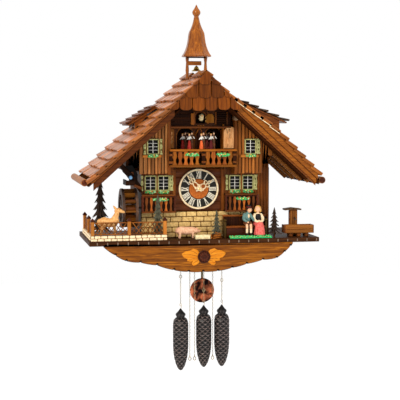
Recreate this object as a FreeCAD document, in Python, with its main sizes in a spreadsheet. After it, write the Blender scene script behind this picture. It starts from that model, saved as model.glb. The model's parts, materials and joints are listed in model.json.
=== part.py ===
import FreeCAD, Part
import math
import os
import re
import Sketcher

# Chalet cuckoo clock.  Millimetres; +X to the viewer's right, +Y into the wall, +Z up.
# The origin is the centre of the hanging hole, on the back face of the back panel.

DIMENSIONS = {
    "hole_radius": 5, "board_thick": 9, "panel_width": 410, "skin_thick": 8,
    "case_left": 168, "case_right": 211, "storey_half": 211, "wall_depth": 226,
    "upper_depth": 270, "gable_depth": 252, "balcony_depth": 295,
    "platform_top": 330, "platform_thick": 13, "platform_left": 325, "platform_right": 343,
    "platform_depth": 300, "storey_level": 129, "stone_level": 255,
    "fascia_thick": 10, "fascia_drop": 78, "fascia_half": 284,
    "ridge_height": 146, "roof_pitch": 42, "roof_half": 330, "roof_depth": 335,
    "roof_board": 8, "shingle_layer": 9, "barge_depth": 28, "barge_thick": 10, "hip_half": 115,
    "hip_drop": 108, "rafter_radius": 8, "gutter_radius": 10,
    "tower_depth": 195, "tower_half": 27, "post_width": 9,
    "dial_level": 190, "dial_radius": 58.5, "chapter_inner": 51.5, "dial_centre": 28,
    "minute_length": 56, "hour_length": 48, "arbor_radius": 1.8, "pipe_radius": 3,
    "running_gap": 0.05, "gear_thick": 2, "gear_centres": 12, "stud_bore": 1.25,
    "chain_depth": 170, "sprocket_level": 235, "sprocket_pitch": 13.9, "sprocket_body": 11.8,
    "chain_radius": 1.8, "great_radius": 20, "staff_radius": 2.5,
    "weight_top": 541, "weight_length": 186, "weight_radius": 22.2,
    "pull_bottom": 706, "chain_reserve": 45, "pull_top": 155,
    "pendulum_depth": 130, "pendulum_right": 30, "bob_level": 502, "bob_radius": 37,
    "pendulum_top": 150, "rod_width": 6,
    "carousel_depth": 228, "carousel_radius": 52, "dancer_ring": 45, "carousel_top": 80,
    "arch_half": 25,
    "doorway_half": 14, "doorway_top": 31, "door_width": 27, "door_thick": 2.5,
    "mill_radius": 57, "mill_width": 44, "mill_depth": 205, "mill_left": 202, "mill_level": 244,
    "window_width": 28, "window_height": 38, "frame_bar": 4, "frame_thick": 4, "pane_thick": 1.5,
    "shutter_width": 13, "plate_thick": 2, "plate_front": 200, "plate_back": 142,
}

doc = FreeCAD.newDocument("CuckooClock")
sheet = doc.addObject("Spreadsheet::Sheet", "Sizes")
for row, (alias, value) in enumerate(DIMENSIONS.items(), start=1):
    sheet.set(f"A{row}", alias)
    sheet.set(f"B{row}", str(value))
    sheet.setAlias(f"B{row}", alias)
doc.recompute()
SIZE = {alias: float(sheet.get(alias)) for alias in DIMENSIONS}
NODES = {}
AXES = {"x": FreeCAD.Rotation(FreeCAD.Vector(0, 1, 0), 90),
        "y": FreeCAD.Rotation(FreeCAD.Vector(1, 0, 0), 90),
        "z": FreeCAD.Rotation()}


def bind(target, prop, value):
    """A text value becomes an expression on the sheet's aliases; a number is set as it is."""
    if isinstance(value, str):
        target.setExpression(prop, re.sub(r"[a-z]+(?:_[a-z]+)+", r"Sizes.\g<0>", value))
    else:
        parts = prop.split(".")
        holder = target
        for name in parts[:-1]:
            holder = getattr(holder, name)
        setattr(holder, parts[-1], value)


def put(piece, at, rotation=None):
    numbers = [value if not isinstance(value, str) else 0 for value in at]
    piece.Placement = FreeCAD.Placement(FreeCAD.Vector(*numbers), rotation or FreeCAD.Rotation())
    for letter, value in zip("xyz", at):
        if isinstance(value, str):
            bind(piece, "Placement.Base." + letter, value)
    return piece


def box(length, width, height, at, rotation=None):
    """A board; at is its lowest corner."""
    piece = doc.addObject("Part::Box", "Board")
    for prop, value in (("Length", length), ("Width", width), ("Height", height)):
        bind(piece, prop, value)
    return put(piece, at, rotation)


def drum(radius, height, at, axis="z"):
    """A round bar from at, along +x, +z or, for axis y, towards the front."""
    piece = doc.addObject("Part::Cylinder", "Bar")
    bind(piece, "Radius", radius)
    bind(piece, "Height", height)
    return put(piece, at, AXES[axis])


def taper(low, high, height, at, axis="z"):
    piece = doc.addObject("Part::Cone", "Taper")
    for prop, value in (("Radius1", low), ("Radius2", high), ("Height", height)):
        bind(piece, prop, value)
    return put(piece, at, AXES[axis])


def ball(wide, deep, high, at):
    piece = doc.addObject("Part::Ellipsoid", "Ball")
    for prop, value in (("Radius2", wide), ("Radius3", deep), ("Radius1", high)):
        bind(piece, prop, value)
    return put(piece, at)


def hoop(radius, wire, at, axis="y"):
    piece = doc.addObject("Part::Torus", "Hoop")
    bind(piece, "Radius1", radius)
    bind(piece, "Radius2", wire)
    return put(piece, at, AXES[axis])


def joined(pieces):
    piece = doc.addObject("Part::MultiFuse", "Joined")
    piece.Shapes = list(pieces)
    return piece


def cut(base, tools):
    piece = doc.addObject("Part::Cut", "Pierced")
    piece.Base = base
    piece.Tool = tools[0] if len(tools) == 1 else joined(tools)
    return piece


def node(label, *pieces):
    """One named sub-part: a single solid, or a group of separate solids."""
    piece = pieces[0]
    if len(pieces) > 1:
        piece = doc.addObject("Part::Compound", "Group")
        piece.Links = list(pieces)
    piece.Label = label
    NODES[label] = piece
    return piece


def sketch_on(body, role, name):
    sketch = body.newObject("Sketcher::SketchObject", name)
    plane = [f for f in body.Origin.OriginFeatures if f.Role == role][0]
    sketch.AttachmentSupport = [(plane, "")]
    sketch.MapMode = "FlatFace"
    return sketch


def draw_loop(sketch, loop):
    """A closed run of points; a circle is ("circle", x, z, radius alias)."""
    if loop[0] == "circle":
        centre = FreeCAD.Vector(loop[1], loop[2], 0)
        radius = SIZE[loop[3]]
        index = sketch.addGeometry(Part.Circle(centre, FreeCAD.Vector(0, 0, 1), radius))
        row = sketch.addConstraint(Sketcher.Constraint("Radius", index, radius))
        sketch.setExpression(f"Constraints[{row}]", "Sizes." + loop[3])
        return
    for start, end in zip(loop, loop[1:] + loop[:1]):
        a, b = FreeCAD.Vector(*start, 0), FreeCAD.Vector(*end, 0)
        sketch.addGeometry(Part.LineSegment(a, b))


def plate(loops, thickness, at=(0, 0, 0), rotation=None, role="XZ_Plane"):
    """A flat piece padded from its outline (seen from the front) towards the front."""
    body = doc.addObject("PartDesign::Body", "Plate")
    sketch = sketch_on(body, role, "Outline")
    for loop in loops:
        draw_loop(sketch, loop)
    pad = body.newObject("PartDesign::Pad", "Pad")
    pad.Profile = sketch
    bind(pad, "Length", thickness)
    return put(body, at, rotation)


def turned(profile, at, axis="z"):
    """A lathe-turned piece: its profile is (radius, height) points round its own axis."""
    body = doc.addObject("PartDesign::Body", "Turned")
    sketch = sketch_on(body, "XZ_Plane", "Profile")
    draw_loop(sketch, profile)
    turn = body.newObject("PartDesign::Revolution", "Turn")
    turn.Profile = sketch
    turn.ReferenceAxis = (sketch, ["V_Axis"])
    turn.Angle = 360
    return put(body, at, AXES[axis])


def arc_points(x, z, radius, start, end, count):
    """Points round an arc, angles in degrees from +x towards +z."""
    angles = [math.radians(start + (end - start) * i / count) for i in range(count + 1)]
    return [(x + radius * math.cos(a), z + radius * math.sin(a)) for a in angles]


def roof_z(x, below=0):
    """Height of the shingles' top plane at x, less a vertical drop."""
    return SIZE["ridge_height"] - SLOPE * abs(x) - below


SLOPE = math.tan(math.radians(SIZE["roof_pitch"]))
STEEP = 1 / math.cos(math.radians(SIZE["roof_pitch"]))
LAYER = SIZE["shingle_layer"] * STEEP
SOFFIT = (SIZE["shingle_layer"] + SIZE["roof_board"]) * STEEP + 1
TOP, BOTTOM = -SIZE["platform_top"], -SIZE["platform_top"] - SIZE["platform_thick"]
FRONT = -SIZE["wall_depth"]
STOREY, STONE = -SIZE["storey_level"], -SIZE["stone_level"]
CAROUSEL_X, SPINDLE = 2, 3
HINGE_X, HINGE_Y = 15.5, -254.5
# Each window: centre x, lowest glass z, and whether it is in the upper storey.
WINDOWS = [(-140.5, -85, True), (143.5, -86, True), (-141, -191, False),
           (-103, -191, False), (107.5, -192, False), (146.5, -192, False)]
# Each train: name, sprocket x, and the side its weight hangs on.
TRAINS = [("left", -29.0, -1), ("centre", 13.1, 1), ("right", 68.1, 1)]


def back_and_sides():
    half = SIZE["panel_width"] / 2
    left = -SIZE["case_left"]
    # The left side steps in under the upper storey, beside the water wheel.
    outline = [(left, TOP), (half, TOP), (half, roof_z(half, SOFFIT)), (0, roof_z(0, SOFFIT)),
               (-half, roof_z(half, SOFFIT)), (-half, STOREY - 8), (left, STOREY - 8)]
    node("back_panel", plate([outline, ("circle", 0, 0, "hole_radius")], "board_thick"))
    depth = "wall_depth - skin_thick - board_thick"
    low = roof_z(SIZE["storey_half"], SOFFIT) - 1
    cheek = "upper_depth - wall_depth"
    front = "skin_thick - wall_depth"
    node("case_sides",
         box("skin_thick", depth, low - TOP, ("case_right - skin_thick", front, TOP)),
         cut(box("skin_thick", depth, STOREY - 8 - TOP, ("-case_left", front, TOP)),
             [drum("staff_radius + running_gap", 20, (-174, "-mill_depth", "-mill_level"), "x")]),
         box("storey_half - case_left + skin_thick", depth, "skin_thick",
             ("-storey_half", front, STOREY - 8)),
         box("skin_thick", depth, low - STOREY, ("-storey_half", front, STOREY)),
         box("skin_thick", cheek, 30, ("-storey_half", "skin_thick - upper_depth", low - 30)),
         box("skin_thick", cheek, 30,
             ("storey_half - skin_thick", "skin_thick - upper_depth", low - 30)))


def base():
    board = box("platform_left + platform_right", "platform_depth", "platform_thick",
                ("-platform_left", "-platform_depth", BOTTOM))
    chain_slot = box(174, 26, 40, (-62, "-chain_depth - 13", BOTTOM - 10))
    rod_slot = box(90, 16, 40, ("pendulum_right - 45", "-pendulum_depth - 8", BOTTOM - 10))
    node("base_platform", cut(board, [chain_slot, rod_slot]))
    half, drop = SIZE["fascia_half"], SIZE["fascia_drop"]
    outline = [(half, BOTTOM), (-half, BOTTOM)]
    scallops = 12
    for i in range(scallops):
        for step in (0.0, 0.5):
            along = -half * 0.92 + 2 * half * 0.92 * (i + step) / scallops
            sag = drop * (1 - 0.52 * (abs(along) / (half * 0.92)) ** 1.7)
            outline.append((along, BOTTOM - sag + (0 if step else 3)))
    outline.append((half * 0.92, BOTTOM - drop * 0.48))
    board = plate([outline], "fascia_thick", (0, "fascia_thick - balcony_depth - 4", 0))
    leaves = []
    for side in (-1, 1):
        leaf = [(side * x, z) for x, z in ((14, -378), (20, -362), (34, -357), (44, -364),
                                           (66, -371), (60, -381), (46, -388), (40, -394),
                                           (26, -403), (18, -396))]
        leaves.append(plate([leaf if side > 0 else leaf[::-1]], 3, (0, "-balcony_depth - 4", 0)))
    rosette = turned([(0, 0), (13.5, 0), (12, 5), (7, 6), (0, 6)], (0, "-balcony_depth - 4", -378), "y")
    node("base_fascia", board, *leaves, rosette)


def window_holes(upper):
    """The glass openings of one storey as loops."""
    wide, high = SIZE["window_width"] / 2, SIZE["window_height"]
    loops = []
    for x, z, is_upper in WINDOWS:
        if is_upper == upper:
            loops.append([(x - wide, z), (x + wide, z), (x + wide, z + high), (x - wide, z + high)])
    return loops


def walls():
    crest, logs = SIZE["wall_depth"] - 4, 5
    pitch = (SIZE["stone_level"] - SIZE["storey_level"]) / logs
    profile = [(-crest + 10, STOREY), (-crest + 10, STONE)]
    for i in range(logs):
        middle = STONE + pitch * (i + 0.5)
        for turn in (-75, -45, 0, 45, 75):
            swing = math.radians(turn)
            profile.append((-crest + 4 - 4 * math.cos(swing), middle + pitch * 0.48 * math.sin(swing)))
    logs = plate([profile], 132, (-66, 0, 0), None, "YZ_Plane")
    node("log_wall", cut(logs, [drum("pipe_radius + 1", 30, (0, -200, "-dial_level"), "y")]))
    node("stone_wall", box("case_left + 165", "skin_thick", "platform_top - stone_level",
                           ("-case_left", "-wall_depth", TOP)))
    holes = window_holes(False)
    left = [(-168, STONE), (-66, STONE), (-66, STOREY), (-168, STOREY)]
    right = [(66, STONE), (165, STONE), (165, TOP), (211, TOP), (211, STOREY), (66, STOREY)]
    at = (0, "skin_thick - wall_depth", 0)
    node("lower_walls", plate([left] + holes[:2], "skin_thick", at),
         plate([right] + holes[2:], "skin_thick", at))
    pieces = []
    for side, hole in zip((-1, 1), window_holes(True)):
        rim, soffit = 97, roof_z(97, SOFFIT)
        steps = [(rim, -144), (180, -144), (180, -114), (196, -114), (196, -92), (211, -92),
                 (211, roof_z(211, SOFFIT)), (rim, soffit)]
        outline = [(side * x, z) for x, z in steps]
        pieces.append(plate([outline, hole], "skin_thick", (0, "skin_thick - upper_depth", 0)))
        inner = rim - SIZE["skin_thick"] if side > 0 else -rim
        cheek = "upper_depth - skin_thick - wall_depth"
        pieces.append(box("skin_thick", cheek, soffit + 144, (inner, "skin_thick - upper_depth", -144)))
        floor_low = rim if side > 0 else -178
        pieces.append(box(81, cheek, 6, (floor_low, "skin_thick - upper_depth", -144)))
    node("upper_walls", *pieces)


def arched(x, half, low, high):
    """A doorway's loop: straight jambs and a round head."""
    return [(x - half, low), (x + half, low)] + arc_points(x, high - half, half, 0, 180, 12)


def stage():
    sill = -SIZE["carousel_top"] + 3
    half, head = SIZE["arch_half"], -12
    outline = [(-89, -90), (-60, -90), (-60, sill)]
    for x in (-39.5, 43.5):
        outline += [(x - half, sill)] + arc_points(x, head - half, half, 180, 0, 12) + [(x + half, sill)]
    outline += [(69.5, sill), (69.5, -90), (89, -90), (89, -9), (-89, -9)]
    node("stage_wall", plate([outline], "skin_thick", (0, FRONT + 8, 0)))
    edge = 89
    gable = [(-edge, -9), (edge, -9), (edge, roof_z(edge, SOFFIT)), (0, roof_z(0, SOFFIT)),
             (-edge, roof_z(edge, SOFFIT))]
    doorway = arched(0, SIZE["doorway_half"], -1, SIZE["doorway_top"])
    louvres = [box(1, 3, 30, (x, "-gable_depth - 3", 0)) for x in (-72, -64, -56, 52, 60, 68)]
    pin = [drum(0.9, 31, (HINGE_X, HINGE_Y, -1))]
    pin += [box(3, 4, 2, (HINGE_X - 1.5, HINGE_Y - 1.5, z)) for z in (-1, 28)]
    node("gable_wall", plate([gable, doorway], "skin_thick", (0, "skin_thick - gable_depth", 0)),
         box(178, 18, 6, (-89, "skin_thick - gable_depth", -15)), joined(pin), *louvres)


def balconies():
    depth = SIZE["balcony_depth"]
    boards = [box(177, 59, 6, (-88, -depth + 9, -125)),
              box(194, 8, 6, (-96, -depth - 1, -79)), box(194, 8, 7, (-96, -depth - 1, -125))]
    for x in (-94, 2, 92):
        boards.append(box(5, 6, 40, (x - 1, -depth, -119)))
    for i in range(5):
        for start in (-84, 12):
            boards.append(box(9, 3, 39, (start + 16 * i, -depth + 1, -118)))
    floor = cut(box(178, 50, 5, (-89, -depth + 20, -95)),
                [drum(SPINDLE + SIZE["running_gap"], 20, (CAROUSEL_X, "-carousel_depth", -100))])
    node("stage_balcony", joined(boards), floor)
    sides = []
    for low in (-170, 74):
        boards = [box(98, 29, 5, (low, -255, -256)), box(98, 5, 5, (low, -255, -208))]
        for x in (0, 93):
            boards.append(box(5, 5, 54, (low + x, -255, -256)))
            boards.append(box(5, 29, 5, (low + x, -255, -208)))
        for i in range(8):
            boards.append(box(6, 2.5, 44, (low + 9 + 10.6 * i, -254, -252)))
        sides.append(joined(boards))
    node("window_balconies", *sides)


def window_face(upper):
    return -SIZE["upper_depth"] if upper else -SIZE["wall_depth"]


def windows():
    wide, high, bar = SIZE["window_width"], SIZE["window_height"], SIZE["frame_bar"]
    frames, panes, shutters, boxes = [], [], [], []
    for x, z, upper in WINDOWS:
        face = window_face(upper)
        front = face - SIZE["frame_thick"]
        low = x - wide / 2
        bars = [box("frame_bar", "frame_thick", "window_height + 2 * frame_bar", (low - bar, front, z - bar)),
                box("frame_bar", "frame_thick", "window_height + 2 * frame_bar", (low + wide, front, z - bar)),
                box("window_width", "frame_thick", "frame_bar", (low, front, z - bar)),
                box("window_width", "frame_thick", "frame_bar", (low, front, z + high)),
                box(1.6, 2, "window_height", (x - 0.8, front + 1, z))]
        for i in (1, 2, 3):
            bars.append(box("window_width", 2, 1.4, (low, front + 1, z + high * i / 4 - 0.7)))
        frames.append(joined(bars))
        panes.append(box("window_width", "pane_thick", "window_height", (low, face + 2, z)))
        boxes.append(box("window_width", 9, 8, (low, front - 9, z - bar - 9)))
    spots = [(-169, -88, True), (-122, -88, True), (162, -88, True), (-85, -194, False),
             (79, -194, False), (164.6, -194, False)]
    for x, z, upper in spots:
        at = (x, window_face(upper) - 2.5, z)
        shutters.append(box("shutter_width - 3", 2.5, 44, at))
    depth = SIZE["balcony_depth"]
    for x in (-50, 38):
        boxes.append(box(34, 7, 8, (x, -depth - 8, -92)))
    for x, length in ((-142, 44), (104, 34)):
        boxes.append(box(length, 7, 8, (x, -262, -222)))
    node("window_frames", *frames)
    node("window_panes", *panes)
    node("window_shutters", *shutters)
    node("flower_boxes", *boxes)


def roof():
    half, deep = SIZE["roof_half"], "roof_depth - 2"
    boards, tiles, timbers = [], [], []
    for side in (-1, 1):
        bottom, edge = SOFFIT - 1, half * side
        board = [(0, roof_z(0, bottom)), (0, roof_z(0, LAYER)), (edge, roof_z(edge, LAYER)),
                 (edge, roof_z(edge, bottom))]
        boards.append(plate([board], deep, (0, -2, 0)))
        skin = [(0, roof_z(0, LAYER)), (0, roof_z(0)), (edge, roof_z(edge)), (edge, roof_z(edge, LAYER))]
        tiles.append(plate([skin], deep, (0, -2, 0)))
        low, rim = SIZE["barge_depth"] + LAYER, SIZE["hip_half"] * side
        barge = [(rim, roof_z(rim, LAYER)), (edge, roof_z(edge, LAYER)),
                 (edge, roof_z(edge, low - 6)), (rim, roof_z(rim, low))]
        timbers.append(plate([barge], "barge_thick", (0, "-roof_depth", 0)))
        eave = (half + SIZE["gutter_radius"]) * side
        timbers.append(drum("gutter_radius", 328, (eave, -6, roof_z(half, 12)), "y"))
        for y in (-60, -140, -220, -300):
            swing = SIZE["roof_pitch"] * side
            turn = FreeCAD.Rotation(FreeCAD.Vector(0, 1, 0), 90 * side + swing)
            bar = drum("rafter_radius", 112, (0, 0, 0))
            drop = SOFFIT + SIZE["rafter_radius"] * STEEP
            timbers.append(put(bar, (222 * side, y, roof_z(222, drop)), turn))
    rim, drop = SIZE["hip_half"], SIZE["hip_drop"]
    hip = [(0, SIZE["ridge_height"]), (-rim, SIZE["ridge_height"] - drop), (rim, SIZE["ridge_height"] - drop)]
    hip = [(x, z - SIZE["ridge_height"]) for x, z in hip]
    tilt = FreeCAD.Rotation(FreeCAD.Vector(1, 0, 0), -5.3)
    tiles.append(plate([hip], "shingle_layer", (0, "-roof_depth - 0.5", "ridge_height"), tilt))
    node("roof_boards", *boards)
    node("roof_shingles", *tiles)
    node("roof_timbers", *timbers)


def dormers():
    """A low shed dormer with its cheeks on each slope; the left one is smaller and sits further back."""
    sheds = []
    # Side, where the shed roof leaves the slope, its tip, its fall, and its front and length.
    for side, crest, tip, fall, front, length in ((-1, 112, 206, 0.62, -60, 130), (1, 97, 246, 0.424, -180, 130)):
        start, board, face = roof_z(crest, -1), 8, tip - 26
        end = start - fall * (tip - crest)
        roof_line = [(crest * side, start), (tip * side, end), (tip * side, end + board), (crest * side, start + board)]
        sheds.append(plate([roof_line], length, (0, front, 0)))
        low = crest + 26
        cheek = [(low * side, roof_z(low, -1)), (face * side, roof_z(face, -1)),
                 (face * side, start - fall * (face - crest)), (low * side, start - fall * (low - crest))]
        for y in (front - 12, front - length + 12):
            sheds.append(plate([cheek], 6, (0, y, 0)))
    node("dormers", *sheds)


def tower():
    half, width = SIZE["tower_half"], SIZE["post_width"]
    head = 191
    posts = []
    for side in (-1, 1):
        foot = roof_z(half - width / 2, 0) + 0.5
        posts.append(box("post_width", "post_width", head - foot,
                         (side * half - width / 2, "-tower_depth - post_width / 2", foot)))
    beam = box(2 * half - width, 7, 11, (-half + width / 2, -198.5, 168))
    node("tower_posts", posts[0], beam, posts[1])
    profile = [(0, 0), (44, 0), (42, 6), (35, 20), (27, 42), (23, 58), (22, 72), (15, 84), (8, 98),
               (6, 112), (9, 119), (12.5, 127), (11, 133), (6, 139), (2, 147), (0, 151)]
    node("tower_spire", turned(profile, (0, "-tower_depth", head)))
    shell = [(2, 14), (4, 13.5), (6, 10), (8, 5), (13, 0), (11.5, 0), (6.8, 5), (4.8, 9.5), (0, 12),
             (0, 16.5), (2, 16.5)]
    node("bell", turned(shell, (0, "-tower_depth", 150.5)))


def pine(x, y, low, height, radius):
    trunk = drum(radius * 0.18, height * 0.3, (x, y, low))
    tiers = [taper(radius * (1 - 0.25 * i), radius * 0.12, height * (0.5 - 0.07 * i),
                   (x, y, low + height * (0.16 + 0.22 * i))) for i in range(3)]
    return joined([trunk] + tiers + [taper(radius * 0.3, 0.4, height * 0.2, (x, y, low + height * 0.8))])


def garden():
    low, top = TOP, TOP + 16
    node("garden_wall", joined([box(217, 12, 16, (-321, -297, low)), box(12, 250, 16, (-321, -297, low))]))
    fence = []
    for x, y in ((-315, -291), (-212, -291), (-110, -291), (-315, -190), (-315, -70)):
        fence.append(joined([box(10, 10, 42, (x - 5, y - 5, top)), taper(6.5, 0.5, 7, (x, y, top + 42))]))
    for start in (-309.5, -206.5):
        rails = [box(91, 2, 3, (start, -292, top + z)) for z in (4, 32)]
        for i in range(5):
            for lean in (-38, 38):
                turn = FreeCAD.Rotation(FreeCAD.Vector(0, 1, 0), lean)
                slat = box(2, 2, 36, (0, 0, 0))
                shift = 36 * math.sin(math.radians(lean)) / 2
                rails.append(put(slat, (start + 13 + 15 * i - shift, -292, top + 4.5), turn))
        fence.append(joined(rails))
    for near, length in ((-284.5, 89), (-184.5, 109)):
        rails = [box(2, length, 3, (-316, near, top + z)) for z in (6, 28)]
        for i in range(int(length / 13)):
            rails.append(box(2.5, 5, 34, (-316.2, near + 5 + 13 * i, top + 2)))
        fence.append(joined(rails))
    node("garden_fence", *fence)
    node("pine_trees", pine(-281, -180, low, 178, 28), pine(-127, -270, low, 126, 19),
         pine(47, -258, low, 78, 16), pine(218, -262, low, 84, 21))
    deer = [drum(12, 50, (-294, -276, low + 51), "x"), taper(8, 5, 38, (-242, -276, low + 48)),
            taper(7, 3, 26, (-243, -276, low + 84), "x")]
    deer += [box(5, 4, 46, (x, y, low)) for x in (-288, -255) for y in (-282, -274)]
    pig = [drum(12, 50, (-68, -262, low + 23), "x"), taper(11, 5, 16, (-18.5, -262, low + 24), "x")]
    pig += [box(6, 5, 18, (x, y, low)) for x in (-64, -30) for y in (-270, -259)]
    node("farm_animals", joined(deer), joined(pig))
    trough = cut(box(42, 16, 12, (-21, -292, low)), [box(38, 12, 10, (-19, -290, low + 3))])
    logs = [drum(3.6, 30, (24, y, low + z), "x") for y, z in ((-290, 3.7), (-282.3, 3.7), (-286.1, 10.3))]
    grass = joined([box(124, 6, 5, (78, -298, low)), box(118, 4, 3, (81, -297, low + 5))])
    node("yard_items", trough, *logs, grass)


def couple():
    low, seat = TOP, TOP + 34
    boards = [box(128, 26, 5, (68, -266, seat - 6)), box(128, 5, 64, (68, -241, low))]
    for x in (68, 190):
        boards.append(box(6, 25, 50, (x, -266, low)))
    node("bench", joined(boards))
    boy = [ball(12, 11, 17, (136, -262, seat + 24)), ball(8.5, 8.5, 9.5, (142, -264, seat + 46)),
           drum(9, 3, (141, -264.3, seat + 52)), box(8, 24, 9, (126, -290, seat + 2)),
           box(8, 24, 9, (138, -290, seat + 2)), box(7, 7, 30, (126.5, -290, low + 8)),
           box(7, 7, 30, (138.5, -290, low + 8))]
    node("boy_figure", joined(boy))
    girl = [ball(11, 9, 17, (168, -266, seat + 24)), ball(9, 9, 10, (168, -266, seat + 48)),
            taper(16, 10, 34, (169, -282, low + 8)), box(22, 22, 9, (158, -282, seat))]
    node("girl_figure", joined(girl))
    post = joined([box(24, 14, 75, (270, -242, low)), box(48, 30, 6, (255, -250, low + 75))])
    tub = cut(box(88, 34, 24, (246, -276, low + 10)), [box(78, 24, 20, (251, -271, low + 15))])
    legs = [box(13, 30, 10, (x, -274, low)) for x in (260, 306)]
    node("fountain", joined([post, tub] + legs))


def mill():
    x, depth, level = -SIZE["mill_left"], -SIZE["mill_depth"], -SIZE["mill_level"]
    radius, width = SIZE["mill_radius"], SIZE["mill_width"]
    rims = []
    for low in (x - width / 2, x + width / 2 - 5):
        disc = drum("mill_radius", 5, (low, depth, level), "x")
        eye = drum("mill_radius - 16", 7, (low - 1, depth, level), "x")
        rims.append(cut(disc, [eye]))
    pieces = rims + [drum(9, "mill_width", (x - width / 2, depth, level), "x")]
    paddles = 12
    for i in range(paddles):
        angle = 360 * i / paddles
        turn = FreeCAD.Rotation(FreeCAD.Vector(1, 0, 0), angle)
        reach = turn.multVec(FreeCAD.Vector(0, -1.25, radius - 15))
        pieces.append(box(width - 1, 2.5, 14, (x - width / 2 + 0.5, depth + reach.y, level + reach.z), turn))
    for low in (x - width / 2 + 0.5, x + width / 2 - 4.5):
        for i in range(3):
            turn = FreeCAD.Rotation(FreeCAD.Vector(1, 0, 0), 60 * i)
            reach = turn.multVec(FreeCAD.Vector(0, -3, -radius + 14))
            pieces.append(box(4, 6, 2 * radius - 28, (low, depth + reach.y, level + reach.z), turn))
    arbor = drum("staff_radius", 76, (x - width / 2 - 2, depth, level), "x")
    node("mill_wheel", joined(pieces + [arbor]))
    floor = box(26, 100, 4, (-218, -262, -176))
    sides = [box(3, 100, 16, (cheek, -262, -176)) for cheek in (-221, -192)]
    brackets = [box(8, 10, 39, (-203, y, -176)) for y in (-200, -160)]
    node("mill_flume", joined([floor] + sides + brackets))


def dial_and_hands():
    level, depth = -SIZE["dial_level"], SIZE["wall_depth"]
    rim, inner, middle = SIZE["dial_radius"], SIZE["chapter_inner"], SIZE["dial_centre"]
    face = [(4, -4), (rim, -4), (rim, 2), (rim - 3, 3), (inner, 2.4), (inner, 0), (middle, 0),
            (middle, 1.5), (4, 1.5)]
    node("dial", turned(face, (0, -depth, level), "y"))
    minute = SIZE["minute_length"]
    long_hand = [(-2, -12), (2, -12), (2.5, 4), (1.6, 16), (4, 24), (1.6, 32), (3, 40), (0, minute),
                 (-3, 40), (-1.6, 32), (-4, 24), (-1.6, 16), (-2.5, 4)]
    hour = SIZE["hour_length"]
    short_hand = [(-3, -9), (3, -9), (3.4, 8), (2, 14), (5.5, 22), (2, 30), (3.6, 37), (0, hour),
                  (-3.6, 37), (-2, 30), (-5.5, 22), (-2, 14), (-3.4, 8)]
    swing = [FreeCAD.Rotation(FreeCAD.Vector(0, 1, 0), angle) for angle in (-42, 56.5)]
    hand = plate([long_hand], 1.5, (0, -239, level), swing[0])
    arbor = drum("arbor_radius", 52, (0, -188.5, level), "y")
    node("minute_hand", joined([hand, arbor, drum(4.5, 3, (0, -238, level), "y")]))
    bore = "arbor_radius + running_gap"
    hand = plate([short_hand], 1.5, (0, -234.5, level), swing[1])
    ring = drum(5.5, 2.5, (0, -234, level), "y")
    sleeve = drum("pipe_radius", 28.5, (0, -207.5, level), "y")
    node("hour_hand", cut(joined([hand, ring, sleeve]), [drum(bore, 40, (0, -200, level), "y")]))


def gear(teeth, module, thickness, bore, at, phase=0.0):
    """A wheel with straight-sided teeth, its axis along y, and the phase in degrees."""
    pitch_radius = teeth * module / 2
    tip, root, step = pitch_radius + 0.8 * module, pitch_radius - 1.2 * module, 360 / teeth
    outline = []
    for i in range(teeth):
        for radius, part in ((root, -0.25), (tip, -0.1), (tip, 0.1), (root, 0.25)):
            angle = math.radians(phase + step * (i + part))
            outline.append((radius * math.cos(angle), radius * math.sin(angle)))
    return plate([outline, ("circle", 0, 0, bore)], thickness, at)


def motion_work():
    """Cannon pinion, minute wheel and hour wheel: one turn in twelve, behind the dial."""
    level, apart = -SIZE["dial_level"], SIZE["gear_centres"]
    cannon = gear(12, 0.5, "gear_thick", "arbor_radius", (0, -203, level))
    hour = gear(40, 0.48, "gear_thick", "pipe_radius", (0, -208, level))
    node("cannon_pinion", cannon)
    node("hour_wheel", hour)
    wheel = gear(36, 0.5, "gear_thick", "arbor_radius", (apart, -203, level), 5)
    pinion = gear(10, 0.48, 5, "stud_bore", (apart, -205, level), 18)
    body = drum(1.8, 5.2, (apart, -202.8, level), "y")
    hollow = drum("stud_bore", 12, (apart, -200, level), "y")
    node("minute_wheel", cut(joined([wheel, pinion, body]), [hollow]))


def movement():
    front, back, level = -SIZE["plate_front"], -SIZE["plate_back"], -SIZE["sprocket_level"]
    dial = -SIZE["dial_level"]
    apart = SIZE["gear_centres"]
    plates = []
    for y in (front, back):
        sheet_metal = box(170, "plate_thick", 144, (-60, y, -264))
        holes = [drum("staff_radius + running_gap", 10, (x, y + 6, level), "y") for _, x, _ in TRAINS]
        holes.append(drum("arbor_radius + running_gap", 10, (0, y + 6, dial), "y"))
        plates.append(cut(sheet_metal, holes))
    pillars = [drum(4, back - front - 2, (x, back, z), "y") for x in (-52, 102) for z in (-256, -128)]
    stud = drum("stud_bore - running_gap", 12, (apart, front, dial), "y")
    feet = [drum(4, 12, (x, front, z), "y") for x in (-52, 58) for z in (-250, -134)]
    node("movement_plates", *plates, *pillars, stud, *feet, pendulum_hanger())
    for name, x, _ in TRAINS:
        wheel = [drum("sprocket_body", 7, (x, "3.5 - chain_depth", level), "y"),
                 drum("great_radius", 1.5, (x, -189, level), "y"),
                 drum("staff_radius", 62, (x, -139, level), "y")]
        node("chain_wheel_" + name, joined(wheel))


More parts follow.
